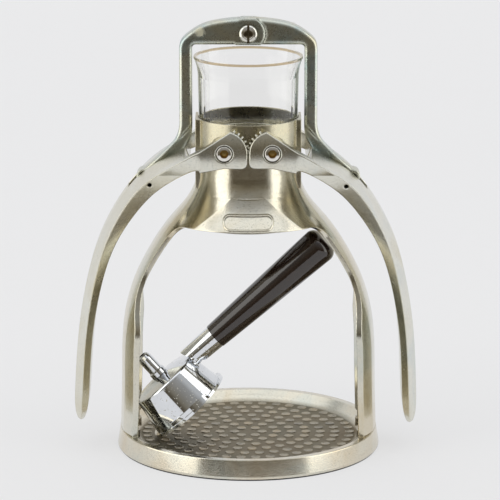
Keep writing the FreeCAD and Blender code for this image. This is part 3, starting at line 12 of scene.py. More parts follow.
import bmesh
import bpy
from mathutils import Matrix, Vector


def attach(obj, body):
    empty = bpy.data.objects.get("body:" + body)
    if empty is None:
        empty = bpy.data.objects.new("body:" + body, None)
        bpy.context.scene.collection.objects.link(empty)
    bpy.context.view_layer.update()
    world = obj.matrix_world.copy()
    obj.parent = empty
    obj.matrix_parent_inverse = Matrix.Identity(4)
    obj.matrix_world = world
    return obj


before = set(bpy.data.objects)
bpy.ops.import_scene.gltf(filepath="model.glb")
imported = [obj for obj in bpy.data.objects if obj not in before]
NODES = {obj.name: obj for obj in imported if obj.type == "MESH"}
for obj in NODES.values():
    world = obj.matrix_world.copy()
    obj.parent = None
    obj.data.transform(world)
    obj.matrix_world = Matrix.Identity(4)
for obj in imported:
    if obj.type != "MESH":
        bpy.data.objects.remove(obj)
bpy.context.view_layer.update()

# %% [markdown]
# ## Small helpers
#
# A shader tree is a list of nodes and wires. Two helpers keep the cells below short: one makes a
# node and sets what is plugged into nothing, the other makes a colour ramp from its stops.


# %% Helpers for node trees
def add_node(tree, kind, inputs=None, **settings):
    """A node of a kind, with properties and, by name or index, numbers on its sockets."""
    node = tree.nodes.new(kind)
    for name, value in settings.items():
        setattr(node, name, value)
    for name, value in (inputs or {}).items():
        node.inputs[name].default_value = value
    return node


def wire(tree, out, into):
    """Join an output socket to an input socket."""
    tree.links.new(out, into)


def ramp(tree, source, *stops):
    """Colour ramp fed by a socket, from (position, colour or grey) stops; gives its colour."""
    node = tree.nodes.new("ShaderNodeValToRGB")
    elements = node.color_ramp.elements
    while len(elements) < len(stops):
        elements.new(1.0)
    for element, (position, tone) in zip(elements, stops):
        element.position = position
        element.color = (tone, tone, tone, 1) if isinstance(tone, float) else (*tone, 1)
    wire(tree, source, node.inputs["Fac"])
    return node.outputs["Color"]


def mix_colour(tree, mask, below, above, blend="MIX"):
    """Blend two colours by a mask; each may be a socket or a plain colour."""
    node = add_node(tree, "ShaderNodeMix", data_type="RGBA", blend_type=blend)
    for index, value in ((0, mask), (6, below), (7, above)):
        if hasattr(value, "node"):
            wire(tree, value, node.inputs[index])
        elif index == 0:
            node.inputs[0].default_value = value
        else:
            node.inputs[index].default_value = (*value, 1)
    return node.outputs[2]


def number(tree, operation, first, second, third=0.0):
    """Math node on sockets or plain numbers."""
    node = add_node(tree, "ShaderNodeMath", operation=operation)
    for index, value in enumerate((first, second, third)):
        if hasattr(value, "node"):
            wire(tree, value, node.inputs[index])
        else:
            node.inputs[index].default_value = value
    return node.outputs[0]


def square_sum(tree, first, second):
    """Sum of the squares of two sockets."""
    return number(tree, "MULTIPLY_ADD", first, first, number(tree, "MULTIPLY", second, second))


def object_axes(tree):
    """Object coordinates, split into X, Y and Z."""
    coords = add_node(tree, "ShaderNodeTexCoord")
    split = add_node(tree, "ShaderNodeSeparateXYZ")
    wire(tree, coords.outputs["Object"], split.inputs[0])
    return split.outputs["X"], split.outputs["Y"], split.outputs["Z"]


def shown_rays(tree, rays):
    """1 for rays that come from the camera, straight or through clear plastic."""
    return number(tree, "MAXIMUM", rays.outputs["Is Camera Ray"],
                  rays.outputs["Is Transmission Ray"])


def mirror_rays(tree, rays):
    """1 for rays that come from a reflection and haven't gone through clear plastic."""
    return number(tree, "SUBTRACT", rays.outputs["Is Glossy Ray"],
                  rays.outputs["Is Transmission Ray"])


def describe(name, tree):
    """Print how many nodes a tree has."""
    print(name + ":", len(tree.nodes), "nodes")


def object_noise(tree, scale, detail=4.0, rough=0.6, distortion=0.0):
    """Noise on Object coordinates, which stay with the piece as it moves."""
    coords = add_node(tree, "ShaderNodeTexCoord")
    noise = add_node(tree, "ShaderNodeTexNoise",
                     {"Detail": detail, "Roughness": rough, "Distortion": distortion})
    wire(tree, coords.outputs["Object"], noise.inputs["Vector"])
    if hasattr(scale, "node"):
        wire(tree, scale, noise.inputs["Scale"])
    else:
        noise.inputs["Scale"].default_value = scale
    return noise.outputs["Fac"]


def new_group(name, inputs, outputs):
    """Empty shader group with named inputs (type, value) and outputs (type)."""
    group = bpy.data.node_groups.new(name, "ShaderNodeTree")
    for label, (kind, value) in inputs.items():
        socket = group.interface.new_socket(label, in_out="INPUT", socket_type=kind)
        socket.default_value = value
    for label, kind in outputs.items():
        group.interface.new_socket(label, in_out="OUTPUT", socket_type=kind)
    return group, add_node(group, "NodeGroupInput"), add_node(group, "NodeGroupOutput")


FLOAT, COLOUR, VECTOR = "NodeSocketFloat", "NodeSocketColor", "NodeSocketVector"

# %% [markdown]
# ## Tarnish and grain
#
# The castings were polished by hand and have aged: most of the metal is a warm pewter grey, with
# yellowish and bluish clouds a few centimetres wide, and a fine grain of pits under a millimetre.
# A picture could be wrapped round the casting, but it would smear on the sides. Noise on Object
# coordinates has the right size everywhere, so one group makes the clouds and the grain for all
# the cast pieces, each with its own three tones.


# %% The tarnish group
def tarnish_group():
    """Clouds in three tones with fine pits, and a roughness that varies with them."""
    group, ins, outs = new_group("CastTarnish", {
        "Clean": (COLOUR, (0.6, 0.58, 0.5, 1)),
        "Warm": (COLOUR, (0.55, 0.47, 0.33, 1)),
        "Cool": (COLOUR, (0.45, 0.5, 0.5, 1)),
        "Cloud Scale": (FLOAT, 24.0),
        "Polish": (FLOAT, 0.16),
    }, {"Color": COLOUR, "Roughness": FLOAT, "Grain": FLOAT})
    clouds = object_noise(group, ins.outputs["Cloud Scale"], 4.0, 0.55, 0.6)
    warm = ramp(group, clouds, (0.48, 0.0), (0.68, 0.8))
    cool = ramp(group, clouds, (0.3, 0.8), (0.47, 0.0))
    toned = mix_colour(group, warm, ins.outputs["Clean"], ins.outputs["Warm"])
    toned = mix_colour(group, cool, toned, ins.outputs["Cool"])
    grain = object_noise(group, 1100.0, 3.0, 0.7)
    pits = ramp(group, grain, (0.32, 0.55), (0.45, 1.0))
    smudges = object_noise(group, 160.0, 5.0, 0.7)
    wire(group, mix_colour(group, 0.6, toned, pits, "MULTIPLY"), outs.inputs["Color"])
    rubbed = number(group, "MULTIPLY_ADD", smudges, 0.16, ins.outputs["Polish"])
    wire(group, rubbed, outs.inputs["Roughness"])
    wire(group, grain, outs.inputs["Grain"])
    return group


CAST_TARNISH = tarnish_group()
describe("tarnish group", CAST_TARNISH)

# %% [markdown]
# ## Fine wear for the small pieces
#
# Turned steel, brass, rubber and plastic differ in colour and shine, but all show the same faint
# unevenness. The second group gives two tones by noise and a mask that varies the shine.


# %% The fine wear group
def fine_wear_group():
    """Two tones by noise, with a shine and a height that follow it."""
    group, ins, outs = new_group("FineWear", {
        "Light": (COLOUR, (0.6, 0.6, 0.6, 1)),
        "Dark": (COLOUR, (0.4, 0.4, 0.4, 1)),
        "Scale": (FLOAT, 400.0),
        "Shine": (FLOAT, 0.2),
        "Spread": (FLOAT, 0.15),
    }, {"Color": COLOUR, "Roughness": FLOAT, "Height": FLOAT})
    noise = object_noise(group, ins.outputs["Scale"], 5.0, 0.65)
    wire(group, mix_colour(group, noise, ins.outputs["Light"], ins.outputs["Dark"]),
         outs.inputs["Color"])
    shine = number(group, "MULTIPLY_ADD", noise, ins.outputs["Spread"], ins.outputs["Shine"])
    wire(group, shine, outs.inputs["Roughness"])
    wire(group, noise, outs.inputs["Height"])
    return group


FINE_WEAR = fine_wear_group()
describe("fine wear group", FINE_WEAR)

# %% [markdown]
# ## A patch round a point
#
# Some marks are in one place only: the pale bloom on the left shoulder of the arch, the tan edge
# of the cup. This group gives 1 near a point and 0 away from it, with a ragged border.


# %% The patch group
def patch_group():
    """1 near a point and 0 away from it, with a ragged border."""
    group, ins, outs = new_group("PatchMask", {
        "Center": (VECTOR, (0, 0, 0)),
        "Radius": (FLOAT, 0.01),
        "Break Up": (FLOAT, 300.0),
    }, {"Mask": FLOAT})
    coords = add_node(group, "ShaderNodeTexCoord")
    away = add_node(group, "ShaderNodeVectorMath", operation="DISTANCE")
    wire(group, coords.outputs["Object"], away.inputs[0])
    wire(group, ins.outputs["Center"], away.inputs[1])
    share = number(group, "DIVIDE", away.outputs["Value"], ins.outputs["Radius"])
    ragged = object_noise(group, ins.outputs["Break Up"], 4.0, 0.7)
    edge = number(group, "MULTIPLY_ADD", ragged, 1.6, share)
    wire(group, ramp(group, number(group, "MULTIPLY", edge, 0.5), (0.62, 1.0), (0.78, 0.0)),
         outs.inputs["Mask"])
    return group


PATCH_MASK = patch_group()
describe("patch group", PATCH_MASK)


def use_group(tree, group, values=None, vectors=None):
    """One use of a shader group in a material."""
    node = add_node(tree, "ShaderNodeGroup")
    node.node_tree = group
    for name, value in (values or {}).items():
        node.inputs[name].default_value = (*value, 1) if isinstance(value, tuple) else value
    for name, value in (vectors or {}).items():
        node.inputs[name].default_value = value
    return node


def new_material(name, **principled):
    """Material with one Principled shader, its constants set on its own sockets."""
    material = bpy.data.materials.new(name)
    material.use_nodes = True
    tree = material.node_tree
    tree.nodes.clear()
    shader = add_node(tree, "ShaderNodeBsdfPrincipled",
                      {label.replace("_", " "): value for label, value in principled.items()})
    out = add_node(tree, "ShaderNodeOutputMaterial")
    wire(tree, shader.outputs["BSDF"], out.inputs["Surface"])
    return material, tree, shader


# %% [markdown]
# ## The cast metals
#
# Each casting takes the tarnish group's colour and roughness. A real casting has no knife-sharp
# edge: polishing rounds it by half a millimetre or more, and that round is what catches the light.
# The Bevel node bends the shading normal near edges by that much, which works on the packed
# meshes as they are, and the grain goes on top of it as a bump. Ambient Occlusion darkens the
# metal in corners and crevices: that darkening is painted shade.

# %% Cast metal materials
SHADE_REACH, GRAIN_HEIGHT = 0.0022, 0.0002


def cast_metal(name, grain_depth, edge_round, **tones):
    """Tarnished cast metal with painted shade in its corners, grain and round edges, and the
    sockets to build on.
    """
    material, tree, shader = new_material(name, Metallic=1.0)
    use = use_group(tree, CAST_TARNISH, {key.replace("_", " "): tones[key] for key in tones})
    # Painted shade: Ambient Occlusion darkens the colour in corners and crevices.
    corner = add_node(tree, "ShaderNodeAmbientOcclusion", {"Distance": SHADE_REACH}, samples=6,
                      only_local=True)
    corner_shade = ramp(tree, corner.outputs["AO"], (0.3, (0.2, 0.16, 0.1)), (0.7, (1.0, 1.0, 1.0)))
    colour = mix_colour(tree, 1.0, use.outputs["Color"], corner_shade, "MULTIPLY")
    wire(tree, colour, shader.inputs["Base Color"])
    wire(tree, use.outputs["Roughness"], shader.inputs["Roughness"])
    rounded = add_node(tree, "ShaderNodeBevel", {"Radius": edge_round}, samples=8)
    bump = add_node(tree, "ShaderNodeBump", {"Strength": grain_depth, "Distance": GRAIN_HEIGHT})
    wire(tree, use.outputs["Grain"], bump.inputs["Height"])
    wire(tree, rounded.outputs["Normal"], bump.inputs["Normal"])
    wire(tree, bump.outputs["Normal"], shader.inputs["Normal"])
    return material, tree, shader, colour, use.outputs["Roughness"], bump


COLLAR_FROM = 0.193


def belled_metal():
    """The casting's metal, browner and duller on the collar, where hot water runs over it."""
    material, tree, shader, colour, shine, _ = cast_metal(
        "bell_metal", 0.1, 0.001, Clean=(0.74, 0.71, 0.61), Warm=(0.68, 0.6, 0.44),
        Cool=(0.6, 0.63, 0.58), Cloud_Scale=20.0, Polish=0.1)
    above = ramp(tree, number(tree, "DIVIDE", object_axes(tree)[2], COLLAR_FROM), (0.98, 0.0),
                 (1.0, 1.0))
    stain = mix_colour(tree, above, (1.0, 1.0, 1.0), (0.7, 0.68, 0.6))
    wire(tree, mix_colour(tree, 1.0, colour, stain, "MULTIPLY"), shader.inputs["Base Color"])
    wire(tree, number(tree, "MULTIPLY_ADD", above, 0.1, shine), shader.inputs["Roughness"])
    return material


bell_metal = belled_metal()
describe("bell metal", bell_metal.node_tree)

# %% [markdown]
# ## The base, rough inside
#
# Only the outside of the base is polished. The floor of the dish is as cast, dark and dull, and
# the slope round it is nearly so. The distance from the object's axis tells one from the other.

# %% Base metal
DISH_EDGE = 0.0735


def dished_metal():
    """The base's metal, dark and dull inside the dish."""
    material, tree, shader, colour, shine, _ = cast_metal(
        "base_metal", 0.12, 0.0012, Clean=(0.74, 0.7, 0.59), Warm=(0.7, 0.6, 0.44),
        Cool=(0.62, 0.65, 0.6), Cloud_Scale=26.0, Polish=0.07)
    across, along, _ = object_axes(tree)
    reach = number(tree, "SQRT", square_sum(tree, across, along), 0.0)
    inside = ramp(tree, number(tree, "DIVIDE", reach, DISH_EDGE), (0.94, 1.0), (1.0, 0.0))
    raw = mix_colour(tree, inside, (1.0, 1.0, 1.0), (0.27, 0.24, 0.18))
    wire(tree, mix_colour(tree, 1.0, colour, raw, "MULTIPLY"), shader.inputs["Base Color"])
    wire(tree, number(tree, "MULTIPLY_ADD", inside, 0.3, shine), shader.inputs["Roughness"])
    return material


base_metal = dished_metal()
describe("base metal", base_metal.node_tree)

# %% [markdown]
# ## The crowned arm plates
#
# The cheeks of the arms look flat, but a polishing wheel leaves them slightly crowned: the upper
# half mirrors the dark room and the lower half the pale table. A bump does that and leaves the
# outline as it is: its height falls off with the square of the distance from the middle line, by
# 2.4 mm at the most.

# %% Arm metal
CROWN_LINE, CROWN_HALF, CROWN_FALL = 0.2, 0.014, 12.0


def crowned_metal():
    """The arms' metal, with a bump that crowns their flat cheeks."""
    material, tree, shader, _, _, bump = cast_metal(
        "arm_metal", 0.05, 0.0014, Clean=(0.78, 0.77, 0.69), Warm=(0.72, 0.68, 0.54),
        Cool=(0.66, 0.7, 0.68), Cloud_Scale=22.0, Polish=0.17)
    height = object_axes(tree)[2]
    away = number(tree, "SUBTRACT", height, CROWN_LINE)
    away = number(tree, "MINIMUM", number(tree, "MAXIMUM", away, -CROWN_HALF), CROWN_HALF)
    fall = number(tree, "MULTIPLY", number(tree, "MULTIPLY", away, away), -CROWN_FALL)
    crown = add_node(tree, "ShaderNodeBump", {"Strength": 1.0, "Distance": 1.0})
    wire(tree, fall, crown.inputs["Height"])
    wire(tree, bump.outputs["Normal"], crown.inputs["Normal"])
    wire(tree, crown.outputs["Normal"], shader.inputs["Normal"])
    return material


arm_metal = crowned_metal()
describe("arm metal", arm_metal.node_tree)

# %% [markdown]
# ## The arch
#
# The links are the darkest castings, bluish where they are handled least. The pale bloom on the
# left shoulder is corrosion: there the metal is white and dull, so the patch lifts the colour and
# the roughness together.

# %% Arch metal
BLOOM_AT, BLOOM_RADIUS = (-0.0305, -0.006, 0.2715), 0.0046


def arch_metal():
    """The links' metal, dark and bluish, with one dull white patch."""
    material, tree, shader, colour, shine, _ = cast_metal(
        "arch_metal", 0.05, 0.003, Clean=(0.6, 0.63, 0.57), Warm=(0.66, 0.61, 0.45),
        Cool=(0.4, 0.52, 0.55), Cloud_Scale=38.0, Polish=0.2)
    bloom = use_group(tree, PATCH_MASK, {"Radius": BLOOM_RADIUS, "Break Up": 800.0},
                      {"Center": BLOOM_AT})
    coated = mix_colour(tree, bloom.outputs["Mask"], colour, (0.72, 0.7, 0.56))
    dull = number(tree, "MULTIPLY_ADD", bloom.outputs["Mask"], 0.35, shine)
    wire(tree, coated, shader.inputs["Base Color"])
    wire(tree, dull, shader.inputs["Roughness"])
    return material


link_metal = arch_metal()
describe("arch metal", link_metal.node_tree)

# %% [markdown]
# ## Plain pieces
#
# Steel screws, brass bushes, the rubber ring and gaskets and the pale piston each get the fine
# wear group under a Principled shader with its own metalness. A material of one flat colour would
# look like a toy, so even rubber has two tones.


# %% Plain materials
def plain_material(name, light, dark, shine, spread=0.15, scale=400.0, bump=0.05, **principled):
    """Material in two tones, with the fine wear group's shine and relief."""
    material, tree, shader = new_material(name, **principled)
    use = use_group(tree, FINE_WEAR, {"Light": light, "Dark": dark, "Scale": scale,
                                      "Shine": shine, "Spread": spread})
    wire(tree, use.outputs["Color"], shader.inputs["Base Color"])
    wire(tree, use.outputs["Roughness"], shader.inputs["Roughness"])
    relief = add_node(tree, "ShaderNodeBump", {"Strength": bump, "Distance": GRAIN_HEIGHT})
    wire(tree, use.outputs["Height"], relief.inputs["Height"])
    wire(tree, relief.outputs["Normal"], shader.inputs["Normal"])
    return material, tree, shader, use


steel = plain_material("steel", (0.74, 0.73, 0.7), (0.56, 0.54, 0.5), 0.14, Metallic=1.0)[0]
brass = plain_material("brass", (0.74, 0.58, 0.3), (0.52, 0.38, 0.17), 0.25, Metallic=1.0)[0]
rubber = plain_material("rubber", (0.03, 0.03, 0.03), (0.015, 0.015, 0.016), 0.5, bump=0.2)[0]
pale_plastic = plain_material("pale_plastic", (0.72, 0.72, 0.7), (0.64, 0.64, 0.61), 0.35)[0]
dark_steel = plain_material("dark_steel", (0.06, 0.05, 0.04), (0.02, 0.018, 0.015), 0.45)[0]
grip_plastic = plain_material("grip_plastic", (0.03, 0.017, 0.011), (0.014, 0.009, 0.008), 0.06,
                              0.06, 120.0, 0.02, IOR=1.55, Coat_Weight=0.45, Coat_IOR=1.6,
                              Coat_Roughness=0.05)[0]
for material in (steel, brass, rubber, pale_plastic, dark_steel, grip_plastic):
    describe(material.name, material.node_tree)

# %% [markdown]
# ## Screws with something in them
#
# The pivot bolts are bright steel with brass-coloured sockets, and old grease fills the slot of
# the top screw. Both marks are a matter of depth along Y, so the mask is a comparison on that
# coordinate: below the outer face the second colour shows. The heads are domed, so a bump falls
# off from the middle of each head, as on the arm plates, and old grease darkens the middle.


# %% Bolt and screw materials
DOME_FALL, GREASE_REACH = 45.0, 0.0029
PIVOT_AT, PIVOT_FACE = (0.0151, 0.2005), 0.0424
SCREW_AT, SCREW_FACE = (0.0, 0.2704), 0.0074


def sunk_colour(name, depth, axis, colour, shine):
    """Domed steel head on an axis (X, Z) that turns to another colour behind a plane in Y."""
    material, tree, shader, use = plain_material(name, (0.9, 0.88, 0.84), (0.74, 0.72, 0.67),
                                                 0.08, Metallic=1.0)
    across, along, height = object_axes(tree)
    aside = number(tree, "SUBTRACT", number(tree, "ABSOLUTE", across, 0.0), axis[0])
    above = number(tree, "SUBTRACT", height, axis[1])
    away = square_sum(tree, aside, above)
    inner = ramp(tree, number(tree, "DIVIDE", away, GREASE_REACH ** 2), (0.75, 1.0), (1.0, 0.0))
    sunk = number(tree, "LESS_THAN", number(tree, "ABSOLUTE", along, 0.0), depth)
    head = mix_colour(tree, inner, use.outputs["Color"], (0.22, 0.18, 0.13))
    wire(tree, mix_colour(tree, sunk, head, colour), shader.inputs["Base Color"])
    wire(tree, number(tree, "MULTIPLY_ADD", sunk, shine, use.outputs["Roughness"]),
         shader.inputs["Roughness"])
    dome = add_node(tree, "ShaderNodeBump", {"Strength": 1.0, "Distance": 1.0})
    wire(tree, number(tree, "MULTIPLY", away, -DOME_FALL), dome.inputs["Height"])
    wire(tree, dome.outputs["Normal"], shader.inputs["Normal"])
    return material


bolt_steel = sunk_colour("bolt_steel", PIVOT_FACE, PIVOT_AT, (0.5, 0.35, 0.13), 0.15)
screw_steel = sunk_colour("screw_steel", SCREW_FACE, SCREW_AT, (0.12, 0.095, 0.06), 0.3)
for material in (bolt_steel, screw_steel):
    describe(material.name, material.node_tree)

# %% [markdown]
# ## Chrome with dust
#
# The filter holder is plated: nearly a mirror, so it shows the room more than itself. What makes
# it real is dust, small pale specks that don't reflect. A high threshold on fine noise leaves only
# its peaks, and there the metal is switched off.


# %% Chrome material
def dusty_chrome():
    """Chrome plate with a faint haze, and specks of dust that don't reflect."""
    material, tree, shader = new_material("dusty_chrome")
    film = object_noise(tree, 90.0, 3.0, 0.5)
    specks = ramp(tree, object_noise(tree, 850.0, 1.0, 0.4), (0.685, 0.0), (0.71, 1.0))
    plate = ramp(tree, film, (0.3, (0.82, 0.84, 0.87)), (0.7, (0.74, 0.76, 0.79)))
    wire(tree, mix_colour(tree, specks, plate, (0.62, 0.6, 0.55)), shader.inputs["Base Color"])
    wire(tree, number(tree, "SUBTRACT", 1.0, specks), shader.inputs["Metallic"])
    hazed = number(tree, "MULTIPLY_ADD", film, 0.03, 0.015)
    wire(tree, number(tree, "MULTIPLY_ADD", specks, 0.6, hazed), shader.inputs["Roughness"])
    return material


chrome = dusty_chrome()
describe("chrome", chrome.node_tree)

# %% [markdown]
# ## The clear cup
#
# The cup is clear plastic that has been washed many times: light goes through it with a faint
# haze, and its cut rim has yellowed. Transmission on the Principled shader bends the light, and
# the height along Z says where the rim is, so that only the rim takes the tan colour. Light on its
# way to the metal behind passes straight through, as it nearly does in a thin wall, so no black
# shadow gathers inside.


# %% Clear plastic
RIM_FROM, RIM_TO, RIM_REACH = 0.2542, 0.2566, 0.0322


def clear_plastic():
    """Scuffed clear plastic with a tan rim, that lets light through to what is behind it."""
    material, tree, shader = new_material("clear_plastic", Transmission_Weight=1.0, IOR=1.3)
    scuffs = object_noise(tree, 55.0, 7.0, 0.7)
    wire(tree, ramp(tree, scuffs, (0.45, 0.0), (0.8, 0.1)), shader.inputs["Roughness"])
    across, along, height = object_axes(tree)
    reach = square_sum(tree, across, along)
    rim = number(tree, "MULTIPLY", number(tree, "GREATER_THAN", height, RIM_FROM),
                 number(tree, "LESS_THAN", height, RIM_TO))
    rim = number(tree, "MULTIPLY", rim, number(tree, "GREATER_THAN", reach, RIM_REACH ** 2))
    wire(tree, mix_colour(tree, rim, (0.985, 0.985, 0.98), (0.6, 0.49, 0.33)),
         shader.inputs["Base Color"])
    rays = add_node(tree, "ShaderNodeLightPath")
    passing = number(tree, "MAXIMUM", rays.outputs["Is Shadow Ray"], rays.outputs["Is Diffuse Ray"])
    passing = number(tree, "MAXIMUM", passing, mirror_rays(tree, rays))
    through = add_node(tree, "ShaderNodeBsdfTransparent", {"Color": (0.93, 0.93, 0.92, 1)})
    either = add_node(tree, "ShaderNodeMixShader")
    wire(tree, passing, either.inputs[0])
    wire(tree, shader.outputs["BSDF"], either.inputs[1])
    wire(tree, through.outputs["BSDF"], either.inputs[2])
    wire(tree, either.outputs[0], tree.nodes["Material Output"].inputs["Surface"])
    return material


clear = clear_plastic()
describe("clear plastic", clear.node_tree)

# %% [markdown]
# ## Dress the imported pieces
#
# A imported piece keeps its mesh, and only its material changes, so each material lists the pieces
# it goes on.


# %% Put the materials on
def dress(node_name, material):
    """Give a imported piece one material."""
    mesh = NODES[node_name].data
    mesh.materials.clear()
    mesh.materials.append(material)
    for face in mesh.polygons:
        face.material_index = 0


LOOKS = [
    (bell_metal, ["body_casting", "badge_plate"]),
    (base_metal, ["base_casting", "brew_head"]),
    (arm_metal, ["lever_arm_left", "lever_arm_right"]),
    (link_metal, ["link_left", "link_right"]),
    (bolt_steel, ["pivot_bolts"]),
    (screw_steel, ["top_screw"]),
    (steel, ["base_screws", "cylinder_sleeve", "brew_head_screws", "shower_screen",
             "shower_screw", "handle_rod", "filter_basket", "basket_spring"]),
    (dark_steel, ["link_pin_left", "link_pin_right"]),
    (brass, ["top_nut", "arm_bushes_left", "arm_bushes_right"]),
    (chrome, ["holder_body", "spout_nozzle", "handle_ferrule"]),
    (grip_plastic, ["handle_grip"]),
    (rubber, ["foot_ring", "group_gasket", "piston_seal", "one_way_valve"]),
    (pale_plastic, ["piston_head"]),
    (clear, ["water_cup", "piston_tube"]),
]
for material, names in LOOKS:
    for node_name in names:
        dress(node_name, material)
print("dressed:", sum(len(names) for material, names in LOOKS), "of", len(NODES))

# %% [markdown]
# ## Dimples in the dish
#
# The floor of the base is pressed with rings of round dimples, each with a low lip. They repeat,
# so Geometry Nodes make them: a repeat zone walks from the outer ring inwards, puts as many points
# on each circle as its length has room for, and every point gets the same small dimple. The
# dimple's profile is a short curve turned about its axis, with few faces, because there are many.


# %% Dimple profile
DIMPLE_SIDES = 14
DIMPLE_PROFILE = [(0.0, 0.02), (0.55, 0.03), (0.72, 0.12), (0.84, 0.5), (0.93, 0.62), (1.0, 0.02)]


def dimple_shape(radius, lip):
    """Small dished button, its underside open, centred on the origin."""
    mesh = bpy.data.meshes.new("dimple")
    build = bmesh.new()
    rings = []
    for share, height in DIMPLE_PROFILE:
        count = 1 if share == 0 else DIMPLE_SIDES
        rings.append([build.verts.new((radius * share * math.cos(math.tau * step / count),
                                       radius * share * math.sin(math.tau * step / count),
                                       lip * height)) for step in range(count)])
    for inner, outer in zip(rings, rings[1:]):
        for step in range(DIMPLE_SIDES):
            after = (step + 1) % DIMPLE_SIDES
            if len(inner) == 1:
                build.faces.new((inner[0], outer[step], outer[after]))
            else:
                build.faces.new((inner[step], outer[step], outer[after], inner[after]))
    bmesh.ops.recalc_face_normals(build, faces=build.faces)
    if sum(face.normal.z for face in build.faces) < 0:
        bmesh.ops.reverse_faces(build, faces=build.faces)
    for face in build.faces:
        face.smooth = True
    build.to_mesh(mesh)
    build.free()
    return bpy.data.objects.new("dimple", mesh)


# %% Dish material
def dish_metal():
    """Raw cast floor of the dish: duller and darker than the polished outside."""
    return cast_metal("dish_metal", 0.5, 0.0003, Clean=(0.42, 0.38, 0.3), Warm=(0.46, 0.38, 0.26),
                      Cool=(0.24, 0.22, 0.18), Cloud_Scale=90.0, Polish=0.26)[0]


dish_floor_metal = dish_metal()
describe("dish metal", dish_floor_metal.node_tree)


# %% The dimple tree
def dimple_tree(shape, material):
    """Tree that sets rings of a shape on a floor as one mesh, and its inputs' identifiers."""
    tree = bpy.data.node_groups.new("DishDimples", "GeometryNodeTree")
    sockets = {}
    for label, kind, value in (("Outer Radius", FLOAT, 0.066), ("Ring Step", FLOAT, 0.0095),
                               ("Dimple Step", FLOAT, 0.0093), ("Floor Height", FLOAT, 0.0),
                               ("Rings", "NodeSocketInt", 7)):
        socket = tree.interface.new_socket(label, in_out="INPUT", socket_type=kind)
        socket.default_value = value
        sockets[label] = socket.identifier
    tree.interface.new_socket("Geometry", in_out="OUTPUT", socket_type="NodeSocketGeometry")
    ins, outs = add_node(tree, "NodeGroupInput"), add_node(tree, "NodeGroupOutput")
    start = add_node(tree, "GeometryNodeRepeatInput")
    end = add_node(tree, "GeometryNodeRepeatOutput")
    start.pair_with_output(end)
    wire(tree, ins.outputs["Rings"], start.inputs["Iterations"])
    reach = number(tree, "MULTIPLY", start.outputs["Iteration"], ins.outputs["Ring Step"])
    radius = number(tree, "SUBTRACT", ins.outputs["Outer Radius"], reach)
    length = number(tree, "MULTIPLY", radius, math.tau)
    count = number(tree, "FLOOR", number(tree, "DIVIDE", length, ins.outputs["Dimple Step"]), 0.0)
    circle = add_node(tree, "GeometryNodeMeshCircle")
    wire(tree, count, circle.inputs["Vertices"])
    wire(tree, radius, circle.inputs["Radius"])
    join = add_node(tree, "GeometryNodeJoinGeometry")
    wire(tree, circle.outputs["Mesh"], join.inputs["Geometry"])
    wire(tree, start.outputs["Geometry"], join.inputs["Geometry"])
    wire(tree, join.outputs["Geometry"], end.inputs["Geometry"])
    model = add_node(tree, "GeometryNodeObjectInfo", {"Object": shape})
    spread = add_node(tree, "GeometryNodeInstanceOnPoints")
    wire(tree, end.outputs["Geometry"], spread.inputs["Points"])
    wire(tree, model.outputs["Geometry"], spread.inputs["Instance"])
    lift = add_node(tree, "GeometryNodeTransform")
    raise_to = add_node(tree, "ShaderNodeCombineXYZ")
    wire(tree, ins.outputs["Floor Height"], raise_to.inputs["Z"])
    wire(tree, spread.outputs["Instances"], lift.inputs["Geometry"])
    wire(tree, raise_to.outputs["Vector"], lift.inputs["Translation"])
    real = add_node(tree, "GeometryNodeRealizeInstances")
    wire(tree, lift.outputs["Geometry"], real.inputs["Geometry"])
    finish = add_node(tree, "GeometryNodeSetMaterial", {"Material": material})
    wire(tree, real.outputs["Geometry"], finish.inputs["Geometry"])
    wire(tree, finish.outputs["Geometry"], outs.inputs["Geometry"])
    return tree, sockets


def from_tree(name, tree, values):
    """Evaluate a tree on an empty mesh and keep the result as a plain mesh object."""
    holder = bpy.data.objects.new(name + "_maker", bpy.data.meshes.new(name + "_maker"))
    bpy.context.collection.objects.link(holder)
    modifier = holder.modifiers.new("maker", "NODES")
    modifier.node_group = tree
    for identifier, value in values.items():
        modifier[identifier] = value
    depsgraph = bpy.context.evaluated_depsgraph_get()
    mesh = bpy.data.meshes.new_from_object(holder.evaluated_get(depsgraph))
    bpy.data.objects.remove(holder)
    made = bpy.data.objects.new(name, mesh)
    bpy.context.collection.objects.link(made)
    return made


# %% Press the dimples
DISH_FLOOR, FLOOR_GAP = 0.007, 0.00003
DIMPLE_RADIUS, DIMPLE_LIP = 0.0031, 0.0006
button = dimple_shape(DIMPLE_RADIUS, DIMPLE_LIP)
tree, sockets = dimple_tree(button, dish_floor_metal)
dimples = from_tree("dish_dimples", tree, {sockets["Floor Height"]: DISH_FLOOR + FLOOR_GAP})
bpy.data.objects.remove(button)
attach(dimples, "frame")
print("dimples:", len(dimples.data.polygons), "faces")

# %% [markdown]
# ## Floor, backdrop, light and camera
#
# The picture was taken on a pale table against a pale backdrop, in a dark room, between two tall
# soft boxes. The metal shows all of that: cream bands from the boxes, a dark middle from the room
# in front, and pale edges from the backdrop. The floor is one smooth sweep for the camera. For
# reflections it ends where the table ends, 0.58 m from the middle except behind the object, so
# that metal sees the dark room beyond it.

# %% Sweep material
TABLE_RADIUS, TABLE_BACK, GLOW_SHARE = 0.58, 0.3, 0.7


